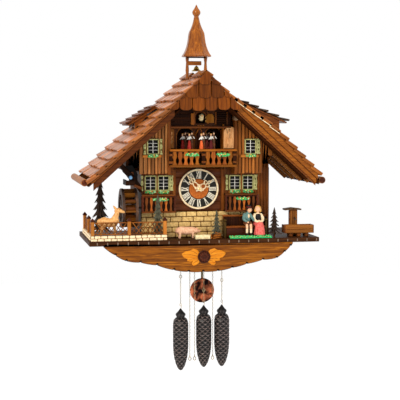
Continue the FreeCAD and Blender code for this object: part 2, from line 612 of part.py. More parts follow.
def weights_and_chains():
    """Each train: a cone weight on one run of chain and a ring on the other."""
    top, length, radius = -SIZE["weight_top"], SIZE["weight_length"], SIZE["weight_radius"]
    depth, pitch = -SIZE["chain_depth"], SIZE["sprocket_pitch"]
    reserve = -SIZE["chain_reserve"]
    lift = {"left": -7, "centre": 0, "right": 0}
    for name, x, side in TRAINS:
        head = top + lift[name]
        profile = [(0, 0), (3, 0), (7, -12), (14, -19), (14, -23), (9, -28), (19, -34), (radius, -48),
                   (radius, -95), (20, -135), (15, -168), (6, 3 - length), (0, -length)]
        node("weight_" + name, turned(profile, (x + side * pitch, depth, head)))
        run = drum("chain_radius", reserve - head - 14, (x + side * pitch, depth, head + 14))
        hook = drum(0.9, 13.5, (x + side * pitch, depth, head + 0.5))
        node("chain_" + name, run, hook)
        ring = hoop(3, 0.9, (x - side * pitch, depth, -SIZE["pull_bottom"] + 4))
        pull = drum("chain_radius", "pull_bottom - pull_top - 8",
                    (x - side * pitch, depth, "-pull_bottom + 8"))
        node("pull_chain_" + name, joined([ring, pull]))


def pendulum():
    x, depth = SIZE["pendulum_right"], -SIZE["pendulum_depth"]
    length = SIZE["bob_level"] - SIZE["pendulum_top"]
    rod = box("rod_width", 2, length, (x - 3, depth - 1, "-bob_level"))
    eye = drum(5, 2, (x, depth + 1, "-pendulum_top"), "y")
    hole = drum(1.55, 6, (x, depth + 3, "-pendulum_top"), "y")
    node("pendulum_rod", cut(joined([rod, eye]), [hole]))
    radius = SIZE["bob_radius"]
    lens = [(0, 0), (radius - 1, 0), (radius, 1), (radius * 0.7, 4), (0, 6)]
    node("pendulum_bob", turned(lens, (x, depth - 1, "-bob_level"), "y"))


def pendulum_hanger():
    """The pin that the pendulum swings on, its lug and the arm from the back panel."""
    x, depth = SIZE["pendulum_right"], -SIZE["pendulum_depth"]
    pin = drum(1.5, 12, (x, depth + 7, "-pendulum_top"), "y")
    lug = box(16, 4, 20, (x - 8, depth + 3, "-pendulum_top - 8"))
    arm = box(8, -depth - 7 - SIZE["board_thick"], 6, (x - 4, depth + 7, "-pendulum_top - 3"))
    return joined([pin, lug, arm])


def sound_works():
    """Two bellows with their pipes, and the coiled gong on its block."""
    pieces = []
    for x in (-146, 120):
        pieces.append(box(26, 32, 92, (x, -120, -128)))
        pieces.append(box(36, 52, 14, (x - 5, -130, -36)))
    node("bellows", *pieces)
    coils = [hoop(30 - 6 * i, 1.5, (-110, -60, -210)) for i in range(4)]
    tie = box(60, 4, 6, (-140, -62, -213))
    stem = box(10, 51, 8, (-115, -60, -214))
    node("gong", joined(coils + [tie, stem]))


def carousel():
    x, depth, top = CAROUSEL_X, -SIZE["carousel_depth"], -SIZE["carousel_top"]
    pieces = [joined([drum("carousel_radius", 5, (x, depth, top - 5)),
                      drum(SPINDLE, 30, (x, depth, top - 34))])]
    for i in range(7):
        angle = math.radians(-90 + 45 * (i if i < 4 else i + 1))
        cx, cy = x + SIZE["dancer_ring"] * math.sin(angle), depth - SIZE["dancer_ring"] * math.cos(angle)
        body = [taper(8.5, 4.5, 34, (cx, cy, top)), ball(8, 5, 9, (cx, cy, top + 38)),
                ball(5, 4.5, 5, (cx, cy, top + 52))]
        pieces.append(joined(body))
    node("carousel", *pieces)


def cuckoo():
    bird = [ball(6, 13, 7, (0, -262, 14)), ball(5, 5.5, 5.5, (0, -271, 21)),
            taper(1.8, 0.3, 7, (0, -275, 21), "y"), drum(1.2, 42, (0, -214, 12), "y")]
    node("cuckoo", joined(bird))
    width = SIZE["door_width"]
    leaf = arched(-HINGE_X, width / 2, 1.5, 27.5)
    turn = FreeCAD.Rotation(FreeCAD.Vector(0, 0, 1), 140)
    hinge = (HINGE_X, HINGE_Y, 0)
    door = plate([leaf], "door_thick", hinge, turn)
    knuckles = [drum(1.8, 5, (HINGE_X, HINGE_Y, z)) for z in (4, 14)]
    knuckles += [put(box(3.5, 1.5, 5, (0, 0, 0)), (HINGE_X - 0.7, HINGE_Y, z),
                     FreeCAD.Rotation(FreeCAD.Vector(0, 0, 1), -40)) for z in (4, 14)]
    node("cuckoo_door", cut(joined([door] + knuckles), [drum(0.95, 40, (HINGE_X, HINGE_Y, -4))]))


back_and_sides()
base()
walls()
stage()
balconies()
windows()
roof()
dormers()
tower()
garden()
couple()
mill()
dial_and_hands()
motion_work()
movement()
weights_and_chains()
pendulum()
sound_works()
carousel()
cuckoo()
doc.recompute()

faults = [o.Name for o in doc.Objects if "Invalid" in o.State or "Error" in o.State]
for label, piece in NODES.items():
    shape = piece.Shape
    if shape.isNull() or not shape.isValid() or not shape.Solids:
        faults.append(label)
if faults:
    raise SystemExit("failed objects: " + ", ".join(faults))
os.makedirs("parts", exist_ok=True)
for label, piece in NODES.items():
    piece.Shape.exportStep(f"parts/{label}.step")
print(len(NODES), "nodes written")
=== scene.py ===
import json
import math
import random
import bpy
import numpy as np
from mathutils import Matrix, Vector

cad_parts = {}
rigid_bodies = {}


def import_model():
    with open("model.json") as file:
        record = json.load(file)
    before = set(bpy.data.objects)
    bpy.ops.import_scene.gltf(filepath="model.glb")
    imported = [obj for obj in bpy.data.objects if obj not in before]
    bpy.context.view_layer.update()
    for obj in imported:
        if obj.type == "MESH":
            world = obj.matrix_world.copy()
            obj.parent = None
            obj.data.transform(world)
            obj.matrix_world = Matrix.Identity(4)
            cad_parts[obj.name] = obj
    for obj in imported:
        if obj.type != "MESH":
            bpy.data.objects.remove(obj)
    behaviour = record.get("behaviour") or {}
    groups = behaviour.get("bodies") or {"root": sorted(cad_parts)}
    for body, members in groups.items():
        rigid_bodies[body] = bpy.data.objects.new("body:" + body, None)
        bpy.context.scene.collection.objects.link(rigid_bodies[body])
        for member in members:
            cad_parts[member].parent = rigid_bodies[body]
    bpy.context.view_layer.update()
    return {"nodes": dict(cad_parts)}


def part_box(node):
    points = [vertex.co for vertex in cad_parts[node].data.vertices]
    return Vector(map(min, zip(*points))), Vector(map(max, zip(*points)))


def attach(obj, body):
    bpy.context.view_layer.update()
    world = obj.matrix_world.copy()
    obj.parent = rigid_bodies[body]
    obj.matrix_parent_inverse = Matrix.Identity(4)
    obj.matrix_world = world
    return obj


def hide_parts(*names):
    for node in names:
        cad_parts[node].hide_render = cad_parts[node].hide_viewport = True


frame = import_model()

# Everything is built in millimetres in the CAD frame and scaled to metres by Build.piece.
MM = 0.001
DICE = random.Random(7)
X, Y, Z = Vector((1, 0, 0)), Vector((0, 1, 0)), Vector((0, 0, 1))


def extent(node):
    """Lowest and highest corner of a CAD node, in millimetres."""
    low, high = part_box(node)
    return low / MM, high / MM


def middle(node):
    low, high = extent(node)
    return (low + high) / 2


# ---------------------------------------------------------------- camera

def make_camera():
    azimuth, elevation = math.radians(-11.5), math.radians(4.3)
    back = Vector((math.sin(azimuth) * math.cos(elevation), -math.cos(azimuth) * math.cos(elevation),
                   math.sin(elevation)))
    data = bpy.data.cameras.new("Camera")
    data.sensor_width, data.lens = 36, 99.31
    data.clip_end = 20
    camera = bpy.data.objects.new("Camera", data)
    camera.location = (-0.6324, -3.3562, 0.0178)
    camera.rotation_mode = "QUATERNION"
    camera.rotation_quaternion = (-back).to_track_quat("-Z", "Y")
    bpy.context.scene.collection.objects.link(camera)
    bpy.context.scene.camera = camera


make_camera()


# ---------------------------------------------------------------- materials

def linear(red, green, blue):
    """A colour given in the usual 0-255 steps, for a shader."""
    return tuple(((c / 255 + 0.055) / 1.055) ** 2.4 if c > 10 else c / 255 / 12.92
                 for c in (red, green, blue)) + (1,)


class Shader:
    """A node material and short ways to add nodes to it."""

    def __init__(self, name, roughness, metallic=0.0, coat=0.0, specular=0.22):
        self.material = bpy.data.materials.new(name)
        self.material.use_nodes = True
        self.tree = self.material.node_tree
        self.surface = self.tree.nodes["Principled BSDF"]
        self.surface.inputs["Roughness"].default_value = roughness
        self.surface.inputs["Metallic"].default_value = metallic
        self.surface.inputs["Coat Weight"].default_value = coat
        self.surface.inputs["Coat Roughness"].default_value = 0.15
        self.surface.inputs["Specular IOR Level"].default_value = specular

    def add(self, kind, **inputs):
        made = self.tree.nodes.new("ShaderNode" + kind)
        for key, value in inputs.items():
            self.set(made, key.replace("_", " "), value)
        return made

    def set(self, made, key, value):
        socket = made.inputs[key]
        if isinstance(value, bpy.types.NodeSocket):
            self.tree.links.new(value, socket)
        else:
            socket.default_value = value

    def place(self, built):
        """Grain coordinates in millimetres: along the grain first. CAD nodes use the frame's own axes."""
        if built:
            source = self.add("Attribute")
            source.attribute_name = "grain"
            return source.outputs["Vector"]
        scaled = self.add("Mapping", Vector=self.add("TexCoord").outputs["Object"])
        scaled.inputs["Scale"].default_value = (1000, 1000, 1000)
        return scaled.outputs["Vector"]

    def stretch(self, vector, scale):
        mapped = self.add("Mapping", Vector=vector)
        mapped.inputs["Scale"].default_value = scale
        return mapped.outputs["Vector"]

    def noise(self, vector, scale, detail=4.0, roughness=0.55, distortion=0.0):
        made = self.add("TexNoise", Vector=vector, Scale=scale, Detail=detail, Roughness=roughness,
                        Distortion=distortion)
        return made.outputs["Fac"]

    def ramp(self, factor, stops):
        made = self.add("ValToRGB", Fac=factor)
        elements = made.color_ramp.elements
        while len(elements) < len(stops):
            elements.new(0.5)
        for element, (at, colour) in zip(elements, stops):
            element.position = at
            element.color = colour
        return made.outputs["Color"]

    def mix(self, kind, factor, a, b):
        made = self.tree.nodes.new("ShaderNodeMix")
        made.data_type, made.blend_type = "RGBA", kind
        for index, value in ((0, factor), (6, a), (7, b)):
            if isinstance(value, bpy.types.NodeSocket):
                self.tree.links.new(value, made.inputs[index])
            else:
                made.inputs[index].default_value = value
        return made.outputs[2]

    def spread(self, factor, low, high):
        made = self.add("MapRange", Value=factor)
        made.inputs["To Min"].default_value, made.inputs["To Max"].default_value = low, high
        return made.outputs["Result"]

    def tone(self):
        source = self.add("Attribute")
        source.attribute_name = "tone"
        return source.outputs["Fac"]

    def bump(self, height, strength, distance):
        made = self.add("Bump", Height=height)
        made.inputs["Strength"].default_value = strength
        made.inputs["Distance"].default_value = distance
        self.tree.links.new(made.outputs["Normal"], self.surface.inputs["Normal"])

    def finish(self, colour, roughness=None):
        self.tree.links.new(colour, self.surface.inputs["Base Color"])
        if roughness is not None:
            self.tree.links.new(roughness, self.surface.inputs["Roughness"])
        return self.material


def wood(name, dark, light, rough=0.42, coat=0.25, built=True, streak=1.0, axis=0, spread=0.35):
    """Stained and varnished softwood: broad streaks, fine pores along the grain, a tone for each board."""
    shader = Shader(name, rough + 0.06, coat=coat * 0.2, specular=coat * 0.35)
    place = shader.place(built)
    long, fine, thin = 0.012 * streak, 0.22 * streak, 1.1 * streak
    broad = [fine, fine, fine]
    pores = [thin, thin, thin]
    broad[axis], pores[axis] = long, long * 3
    figure = shader.noise(shader.stretch(place, broad), 1.0, 5, 0.6, 0.9)
    pore = shader.noise(shader.stretch(place, pores), 1.0, 3, 0.7)
    deep = linear(*(c * 0.62 for c in dark))
    base = shader.ramp(figure,
                       ((0.3, linear(*dark)), (0.5, linear(*((a + b) / 2 for a, b in zip(dark, light)))),
                                (0.7, linear(*light))))
    base = shader.mix("MIX", shader.spread(pore, -0.35, 0.75), base, deep)
    if built:
        grey = shader.ramp(shader.tone(),
                           ((0.0, (1 - spread,) * 3 + (1,)), (1.0, (1 + spread,) * 3 + (1,))))
        base = shader.mix("MULTIPLY", 1.0, base, grey)
    shader.bump(pore, 0.25, 0.0004)
    return shader.finish(base, shader.spread(figure, rough - 0.1, rough + 0.12))


def paint(name, colour, rough=0.5, mottle=0.25, grain_scale=0.16, coat=0.1, built=True, shade=None):
    """Brushed paint over carved wood: slow mottling towards a darker tone and thin darker brush lines."""
    shader = Shader(name, rough, coat=coat * 0.5, specular=0.12)
    place = shader.place(built)
    cloud = shader.noise(place, grain_scale, 4, 0.6)
    brush = shader.noise(shader.stretch(place, (0.15, 1.3, 1.3)), 1.0, 2, 0.6)
    low = shade or tuple(c * (1 - mottle) for c in colour)
    high = tuple(min(255, c * (1 + mottle * 0.5)) for c in colour)
    base = shader.ramp(cloud, ((0.3, linear(*low)), (0.52, linear(*colour)), (0.75, linear(*high))))
    base = shader.mix("MIX", shader.spread(brush, 0.0, 0.3), base, linear(*(c * 0.7 for c in colour)))
    shader.bump(brush, 0.15, 0.0003)
    return shader.finish(base, shader.spread(cloud, rough - 0.1, rough + 0.12))


def metal(name, colour, tarnish_and_reflection, rough=0.25, metallic=1.0, scale=0.12):
    shader = Shader(name, rough, metallic=metallic, specular=0.5)
    place = shader.place(False)
    cloud = shader.noise(place, scale, 5, 0.65, 0.4)
    scratch = shader.noise(shader.stretch(place, (0.3, 0.3, 2.2)), 1.0, 2)
    base = shader.ramp(cloud, ((0.4, linear(*tarnish_and_reflection)), (0.58, linear(*colour))))
    shader.bump(scratch, 0.06, 0.0002)
    return shader.finish(base, shader.spread(cloud, rough + 0.15, rough - 0.05))


def cast_iron(name):
    """Dark lacquered iron; the tone paints light and shade on the scales: near-black shade in the recesses,
    lightening to a warm grey painted highlight on the lips.
    """
    shader = Shader(name, 0.5, metallic=0.2, coat=0.05)
    cloud = shader.noise(shader.place(True), 0.05, 3, 0.5)
    scale_light_shade = shader.ramp(shader.tone(), ((0.0, linear(8, 8, 8)), (0.5, linear(38, 37, 37)),
                                      (0.78, linear(92, 86, 84)), (0.95, linear(214, 196, 188))))
    shader.bump(cloud, 0.1, 0.0004)
    return shader.finish(shader.mix("MULTIPLY", 0.5, scale_light_shade, shader.ramp(cloud, (
        (0.3, linear(150, 150, 160)), (0.7, linear(255, 220, 206))))))


# Each wood: its dark and light tones, roughness and varnish.
WOODS = {
    "roof_tile": ((134, 70, 26), (200, 126, 62), 0.3, 0.35),
    "verge_left": ((112, 60, 26), (172, 108, 58), 0.34, 0.3),
    "verge_right": ((112, 54, 10), (180, 108, 36), 0.3, 0.4),
    "pale_strip": ((116, 64, 26), (168, 110, 60), 0.34, 0.3),
    "hip_tile": ((72, 30, 2), (132, 68, 10), 0.36, 0.25),
    "dormer_tile": ((44, 32, 24), (82, 62, 46), 0.5, 0.1),
    "golden": ((112, 56, 8), (168, 98, 22), 0.34, 0.3),
    "barge": ((88, 40, 6), (138, 76, 20), 0.36, 0.3),
    # A darker copy of the barge wood for the left verge: painted shade.
    "barge_shaded_left": ((58, 24, 6), (102, 52, 14), 0.4, 0.2),
    "dark_board": ((26, 11, 4), (52, 25, 9), 0.5, 0.1),
    "plank_light": ((124, 68, 26), (200, 136, 76), 0.38, 0.3),
    "plank_mid": ((92, 44, 10), (142, 80, 26), 0.4, 0.25),
    "plank_right": ((116, 60, 18), (180, 110, 46), 0.4, 0.25),
    "log": ((66, 30, 8), (108, 58, 18), 0.6, 0.0),
    "soffit": ((34, 14, 5), (66, 32, 12), 0.7, 0.0),
    "panel": ((30, 12, 5), (60, 28, 10), 0.5, 0.1),
    "fascia_wood": ((72, 30, 2), (180, 108, 18), 0.3, 0.3),
    "leaf_wood": ((186, 102, 10), (226, 150, 42), 0.38, 0.25),
    "rosette_wood": ((54, 18, 4), (96, 40, 10), 0.32, 0.3),
    "platform_wood": ((44, 22, 10), (84, 48, 22), 0.48, 0.1),
    "carving": ((188, 122, 66), (238, 190, 136), 0.48, 0.1),
    "spire_wood": ((104, 48, 6), (184, 108, 26), 0.28, 0.5),
    "tan_door": ((132, 78, 22), (176, 116, 44), 0.42, 0.2),
    "fence_wood": ((92, 46, 14), (156, 94, 40), 0.5, 0.1),
    "post_wood": ((146, 80, 24), (196, 126, 52), 0.42, 0.2),
    "wheel_wood": ((66, 46, 36), (128, 98, 80), 0.45, 0.1),
    "paddle_wood": ((104, 56, 14), (172, 108, 36), 0.45, 0.2),
    "centre_wood": ((134, 60, 14), (188, 106, 36), 0.36, 0.3),
    "tub_wood": ((116, 62, 18), (172, 108, 42), 0.42, 0.2),
    "roof_grey": ((66, 46, 28), (112, 84, 54), 0.5, 0.1),
    "olive_wood": ((66, 46, 16), (106, 78, 32), 0.45, 0.2),
    "knob_wood": ((96, 74, 54), (150, 122, 94), 0.45, 0.2),
}
# Each paint: its colour, roughness and the darker tone of its mottling.
PAINTS = {
    "stone": ((226, 190, 122), 0.5, (182, 136, 66)), "stone_joint": ((92, 56, 22), 0.7, None),
    "brick": ((248, 222, 180), 0.5, (224, 186, 136)), "brick_joint": ((112, 74, 36), 0.7, None),
    "white": ((240, 236, 226), 0.45, None), "shutter": ((188, 184, 122), 0.5, (142, 138, 78)),
    "shutter_dark": ((94, 96, 40), 0.5, None), "leafage": ((76, 184, 102), 0.55, (28, 118, 60)),
    "leaf_light": ((176, 222, 160), 0.55, None), "blossom_red": ((208, 74, 50), 0.5, None),
    "blossom_yellow": ((232, 206, 84), 0.5, None), "grass": ((46, 176, 98), 0.6, (14, 110, 56)),
    "pine_dark": ((60, 44, 34), 0.6, (26, 19, 14)), "pine_green": ((88, 86, 68), 0.6, (46, 46, 36)),
    "deer": ((232, 176, 110), 0.5, (190, 118, 58)), "pig": ((236, 184, 148), 0.5, (204, 138, 102)),
    "skin": ((240, 190, 150), 0.45, (224, 156, 112)), "hair_blond": ((226, 170, 84), 0.5, (184, 122, 44)),
    "hair_brown": ((84, 50, 28), 0.5, None), "black": ((30, 26, 26), 0.45, None),
    "jacket": ((98, 132, 126), 0.55, (62, 92, 90)), "shorts": ((112, 66, 38), 0.55, None),
    "coral": ((228, 108, 98), 0.55, (190, 66, 60)), "orange_dress": ((240, 108, 52), 0.5, (206, 66, 26)),
    "red_dress": ((176, 48, 38), 0.55, (128, 26, 22)), "maroon": ((98, 30, 32), 0.55, None),
    "umber": ((92, 62, 40), 0.55, (58, 38, 24)), "cream": ((246, 222, 182), 0.4, (226, 190, 142)),
    "bone": ((248, 222, 178), 0.35, (216, 176, 122)), "numeral": ((236, 226, 204), 0.45, None),
    "dial_black": ((34, 32, 27), 0.6, (22, 19, 17)), "bird": ((226, 208, 160), 0.5, (168, 140, 86)),
    "water": ((120, 170, 214), 0.12, None), "socket": ((14, 11, 10), 0.8, None),
    "trough_cream": ((238, 218, 170), 0.5, (206, 176, 120)), "log_end": ((226, 140, 60), 0.5,
                                                                         (178, 92, 26)),
    "notch": ((132, 112, 96), 0.5, None), "eye": ((12, 10, 10), 0.2, None),
}
# Woods of the CAD nodes that stay, each with the axis its grain runs along.
CAD_WOODS = {
    "case_wood": ((64, 32, 10), (104, 58, 22), 0.5, 0.1, 2),
    "board_wood": ((48, 22, 8), (84, 44, 16), 0.6, 0.0, 1),
    "log_wood": ((74, 30, 6), (120, 62, 18), 0.4, 0.3, 0),
    "wall_wood": ((72, 34, 12), (116, 64, 24), 0.45, 0.2, 2),
    "stage_wood": ((62, 28, 10), (104, 56, 20), 0.45, 0.2, 2),
    "rod_wood": ((84, 78, 52), (122, 112, 78), 0.4, 0.2, 2),
}
MATERIALS = {}
for key, (dark, light, rough, coat) in WOODS.items():
    MATERIALS[key] = wood(key, dark, light, rough, coat)
for key, (colour, rough, shade) in PAINTS.items():
    MATERIALS[key] = paint(key, colour, rough, shade=shade)
for key, (dark, light, rough, coat, axis) in CAD_WOODS.items():
    MATERIALS[key] = wood(key, dark, light, rough, coat, built=False, axis=axis)
MATERIALS["pane"] = paint("pane", (14, 12, 13), 0.5, mottle=0.5, built=False, coat=0.0)
MATERIALS["brass"] = metal("brass", (222, 178, 96), (140, 100, 46), 0.22)
MATERIALS["chain_brass"] = metal("chain_brass", (196, 174, 134), (92, 78, 54), 0.3, metallic=0.9)
MATERIALS["bell_brass"] = metal("bell_brass", (206, 178, 80), (110, 92, 34), 0.22)
MATERIALS["steel"] = metal("steel", (180, 180, 184), (110, 108, 106), 0.3)
# The copper's dark clouds are partly tarnish and partly a painted dark reflection.
MATERIALS["copper"] = metal("copper", (196, 108, 72), (26, 15, 15), 0.12, scale=0.028)
MATERIALS["iron"] = cast_iron("iron")
MATERIALS["spout_iron"] = metal("spout_iron", (70, 62, 58), (30, 28, 27), 0.4, metallic=0.6)


# ---------------------------------------------------------------- mesh building

def turn(axis, degrees):
    return Matrix.Rotation(math.radians(degrees), 4, axis)


def frame_at(at, along, across, out):
    """A placement whose x, y and z run along three given directions."""
    columns = [Vector(v).normalized() for v in (along, across, out)]
    made = Matrix.Identity(4)
    for i, column in enumerate(columns):
        for j in range(3):
            made[j][i] = column[j]
    made.translation = Vector(at)
    return made


FRONT = Matrix(((1, 0, 0, 0), (0, 0, -1, 0), (0, 1, 0, 0), (0, 0, 0, 1)))  # x right, y up, z to the front


class Build:
    """Collects solids in millimetres, each with its grain and tone, and makes one piece of them."""

    def __init__(self):
        self.points, self.faces, self.slots, self.grain, self.tones = [], [], [], [], []
        self.names = []
        self.current = 0

    def paint(self, name):
        if name not in self.names:
            self.names.append(name)
        self.current = self.names.index(name)
        return self

    def add(self, points, faces, place=None, along=0, tone=None):
        place = place or Matrix.Identity(4)
        start = len(self.points)
        shift = Vector(DICE.uniform(0, 900) for _ in range(3))
        tone = DICE.random() if tone is None else tone
        tones = tone if isinstance(tone, list) else [tone] * len(points)
        second, third = [i for i in range(3) if i != along]
        for point in points:
            point = Vector(point)
            self.points.append(place @ point)
            self.grain.append((point[along] + shift[0], point[second] + shift[1], point[third] + shift[2]))
        self.tones.extend(tones)
        flip = place.determinant() < 0
        for face in faces:
            ordered = tuple(start + i for i in face)
            self.faces.append(ordered[::-1] if flip else ordered)
            self.slots.append(self.current)

    def slab(self, outline, thick, place, edge=0.5, along=0, tone=None, rise=None):
        """A board from its outline in x and y, with eased edges on top; rise(x, y) lifts the top."""
        count = len(outline)
        area = sum(a[0] * b[1] - b[0] * a[1] for a, b in zip(outline, outline[1:] + outline[:1]))
        outline = outline if area > 0 else outline[::-1]
        inner = inset(outline, edge)
        lift = rise or (lambda x, y: 0.0)
        points = [(x, y, 0) for x, y in outline]
        points += [(x, y, thick - edge + lift(x, y)) for x, y in outline]
        points += [(x, y, thick + lift(x, y)) for x, y in inner]
        faces = [tuple(range(count))[::-1], tuple(range(2 * count, 3 * count))]
        for i in range(count):
            j = (i + 1) % count
            faces.append((i, j, count + j, count + i))
            faces.append((count + i, count + j, 2 * count + j, 2 * count + i))
        self.add(points, faces, place, along, tone)

    def bar(self, size, at, edge=0.5, rotation=None, along=None, tone=None):
        """A box with chamfered edges, centred on at."""
        half = [s / 2 for s in size]
        edge = min(edge, *(h * 0.45 for h in half))
        points, index = [], {}
        for sx in (-1, 1):
            for sy in (-1, 1):
                for sz in (-1, 1):
                    for axis in range(3):
                        corner = [sx * (half[0] - edge), sy * (half[1] - edge), sz * (half[2] - edge)]
                        corner[axis] += (sx, sy, sz)[axis] * edge
                        index[sx, sy, sz, axis] = len(points)
                        points.append(corner)
        faces = []
        for axis in range(3):
            u, v = [i for i in range(3) if i != axis]
            for sign in (-1, 1):
                loop = []
                for su, sv in ((-1, -1), (1, -1), (1, 1), (-1, 1)):
                    signs = [0, 0, 0]
                    signs[axis], signs[u], signs[v] = sign, su, sv
                    loop.append(index[(*signs, axis)])
                faces.append(tuple(loop))
            for su in (-1, 1):
                for sv in (-1, 1):
                    low, high = [0, 0, 0], [0, 0, 0]
                    low[axis], high[axis] = -1, 1
                    low[u] = high[u] = su
                    low[v] = high[v] = sv
                    faces.append((index[(*low, u)], index[(*high, u)], index[(*high, v)], index[(*low, v)]))
        for key in list(index):
            if key[3] == 0:
                faces.append(tuple(index[key[:3] + (axis,)] for axis in range(3)))
        faces = [outward(face, points) for face in faces]
        place = Matrix.Translation(Vector(at)) @ (rotation or Matrix.Identity(4))
        along = max(range(3), key=lambda i: size[i]) if along is None else along
        self.add(points, faces, place, along, tone)

    def lathe(self, profile, at, axis=Z, sides=24, along=2, tone=None, spin=0.0):
        """(radius, height) points turned round an axis, from the lowest to the highest."""
        place = Matrix.Translation(Vector(at)) @ axis.to_track_quat("Z", "Y").to_matrix().to_4x4()
        points = []
        for radius, height in profile:
            for i in range(sides):
                angle = 2 * math.pi * (i + spin) / sides
                points.append((max(radius, 0.01) * math.cos(angle), max(radius, 0.01) * math.sin(angle),
                               height))
        self.add(points, skin(len(profile), sides), place, along, tone)

    def tube(self, path, radius, sides=10, closed=False, along=None, tone=None):
        """A round bar along a path; radius is a number or one for each point."""
        path = [Vector(p) for p in path]
        count = len(path)
        radii = radius if isinstance(radius, (list, tuple)) else [radius] * count
        points = []
        side = None
        for i, point in enumerate(path):
            before = path[i - 1] if i or closed else point
            after = path[(i + 1) % count] if i < count - 1 or closed else point
            heading = (after - before).normalized()
            if side is None:
                side = heading.orthogonal().normalized()
            side = (side - heading * side.dot(heading)).normalized()
            other = heading.cross(side)
            for k in range(sides):
                angle = 2 * math.pi * k / sides
                points.append(point + (side * math.cos(angle) + other * math.sin(angle)) * radii[i])
        if along is None:
            run = path[-1] - path[0]
            along = max(range(3), key=lambda i: abs(run[i]))
        self.add(points, skin(count, sides, closed), None, along, tone)

    def ball(self, radii, at, sides=16, rotation=None, tone=None):
        rings = max(6, sides // 2 + 2)
        points, faces = [(0, 0, -radii[2])], []
        for ring in range(1, rings):
            polar = math.pi * ring / rings
            for i in range(sides):
                angle = 2 * math.pi * i / sides
                points.append((radii[0] * math.sin(polar) * math.cos(angle),
                               radii[1] * math.sin(polar) * math.sin(angle), -radii[2] * math.cos(polar)))
        points.append((0, 0, radii[2]))
        last = len(points) - 1
        for i in range(sides):
            j = (i + 1) % sides
            faces.append((0, 1 + j, 1 + i))
            for ring in range(rings - 2):
                a, b = 1 + ring * sides, 1 + (ring + 1) * sides
                faces.append((a + i, a + j, b + j, b + i))
            top = 1 + (rings - 2) * sides
            faces.append((top + i, top + j, last))
        place = Matrix.Translation(Vector(at)) @ (rotation or Matrix.Identity(4))
        self.add(points, faces, place, 0, tone)

    def ring(self, radius, wire, at, axis=Y, stretch=1.0, sides=8, count=20, spin=None):
        """A closed round link or hoop; stretch makes it longer along its own y."""
        rotation = (axis.to_track_quat("Z", "Y").to_matrix().to_4x4()) @ (spin or Matrix.Identity(4))
        path = [rotation @ Vector((radius * math.cos(2 * math.pi * i / count),
                                   radius * stretch * math.sin(2 * math.pi * i / count), 0))
                + Vector(at) for i in range(count)]
        self.tube(path, wire, sides, closed=True)

    def piece(self, name, body="root", slot="stained_wood", replaces=(), angle=38):
        mesh = bpy.data.meshes.new(name)
        mesh.from_pydata([p * MM for p in self.points], [], self.faces)
        mesh.validate()
        for label in self.names:
            mesh.materials.append(MATERIALS[label])
        mesh.polygons.foreach_set("material_index", self.slots)
        grain = mesh.attributes.new("grain", "FLOAT_VECTOR", "POINT")
        grain.data.foreach_set("vector", [c for g in self.grain for c in g])
        tone = mesh.attributes.new("tone", "FLOAT", "POINT")
        tone.data.foreach_set("value", self.tones)
        mesh.polygons.foreach_set("use_smooth", [True] * len(mesh.polygons))
        mesh.set_sharp_from_angle(angle=math.radians(angle))
        made = bpy.data.objects.new(name, mesh)
        bpy.context.scene.collection.objects.link(made)
        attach(made, body)
        if replaces:
            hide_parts(*replaces)
        return made


def skin(rings, sides, closed=False):
    """Faces over rings of points, with a cap on each end unless the last ring joins the first."""
    faces = []
    for ring in range(rings if closed else rings - 1):
        a, b = ring * sides, (ring + 1) % rings * sides
        for i in range(sides):
            j = (i + 1) % sides
            faces.append((a + i, a + j, b + j, b + i))
    if not closed:
        faces.append(tuple(range(sides))[::-1])
        faces.append(tuple(range((rings - 1) * sides, rings * sides)))
    return faces


def outward(face, points):
    """Orders a face of a solid round the origin so that it faces away from it."""
    a, b, c = (Vector(points[i]) for i in face[:3])
    centre = sum((Vector(points[i]) for i in face), Vector()) / len(face)
    return face if (b - a).cross(c - a).dot(centre) > 0 else tuple(reversed(face))


def inset(outline, distance):
    """The outline moved inwards, corner by corner; it runs anticlockwise."""
    moved = []
    for i, (x, y) in enumerate(outline):
        before, after = Vector(outline[i - 1]), Vector(outline[(i + 1) % len(outline)])
        here = Vector((x, y))
        one, two = (here - before), (after - here)
        if one.length < 1e-6 or two.length < 1e-6:
            moved.append((x, y))
            continue
        one.normalize()
        two.normalize()
        normal = Vector((-one.y - two.y, one.x + two.x))
        if normal.length < 1e-3:
            moved.append((x, y))
            continue
        normal.normalize()
        reach = min(distance / max(0.35, normal.dot(Vector((-one.y, one.x)))), distance * 2.2)
        moved.append((x + normal.x * reach, y + normal.y * reach))
    return moved


def clip(outline, a, b, c):
    """The part of an outline where a*x + b*y <= c."""
    kept = []
    for here, after in zip(outline, outline[1:] + outline[:1]):
        d, e = a * here[0] + b * here[1] - c, a * after[0] + b * after[1] - c
        if d <= 0:
            kept.append(here)
        if d * e < 0:
            share = d / (d - e)
            kept.append((here[0] + (after[0] - here[0]) * share, here[1] + (after[1] - here[1]) * share))
    return kept


def arc(x, y, radius, start, end, count, squeeze=1.0):
    steps = [math.radians(start + (end - start) * i / count) for i in range(count + 1)]
    return [(x + radius * math.cos(t), y + radius * squeeze * math.sin(t)) for t in steps]


def front(y):
    """A placement for flat pieces seen from the front: outline x and z, growing from y outwards."""
    return Matrix.Translation(Vector((0, y, 0))) @ FRONT


def ribbon(path, widths):
    """The outline of a brush stroke along a path, with a width for each point."""
    left, right = [], []
    for i, point in enumerate(path):
        before, after = path[max(i - 1, 0)], path[min(i + 1, len(path) - 1)]
        heading = Vector((after[0] - before[0], after[1] - before[1])).normalized()
        half = widths[i] / 2
        left.append((point[0] - heading.y * half, point[1] + heading.x * half))
        right.append((point[0] + heading.y * half, point[1] - heading.x * half))
    return left + right[::-1]


# ---------------------------------------------------------------- frame landmarks

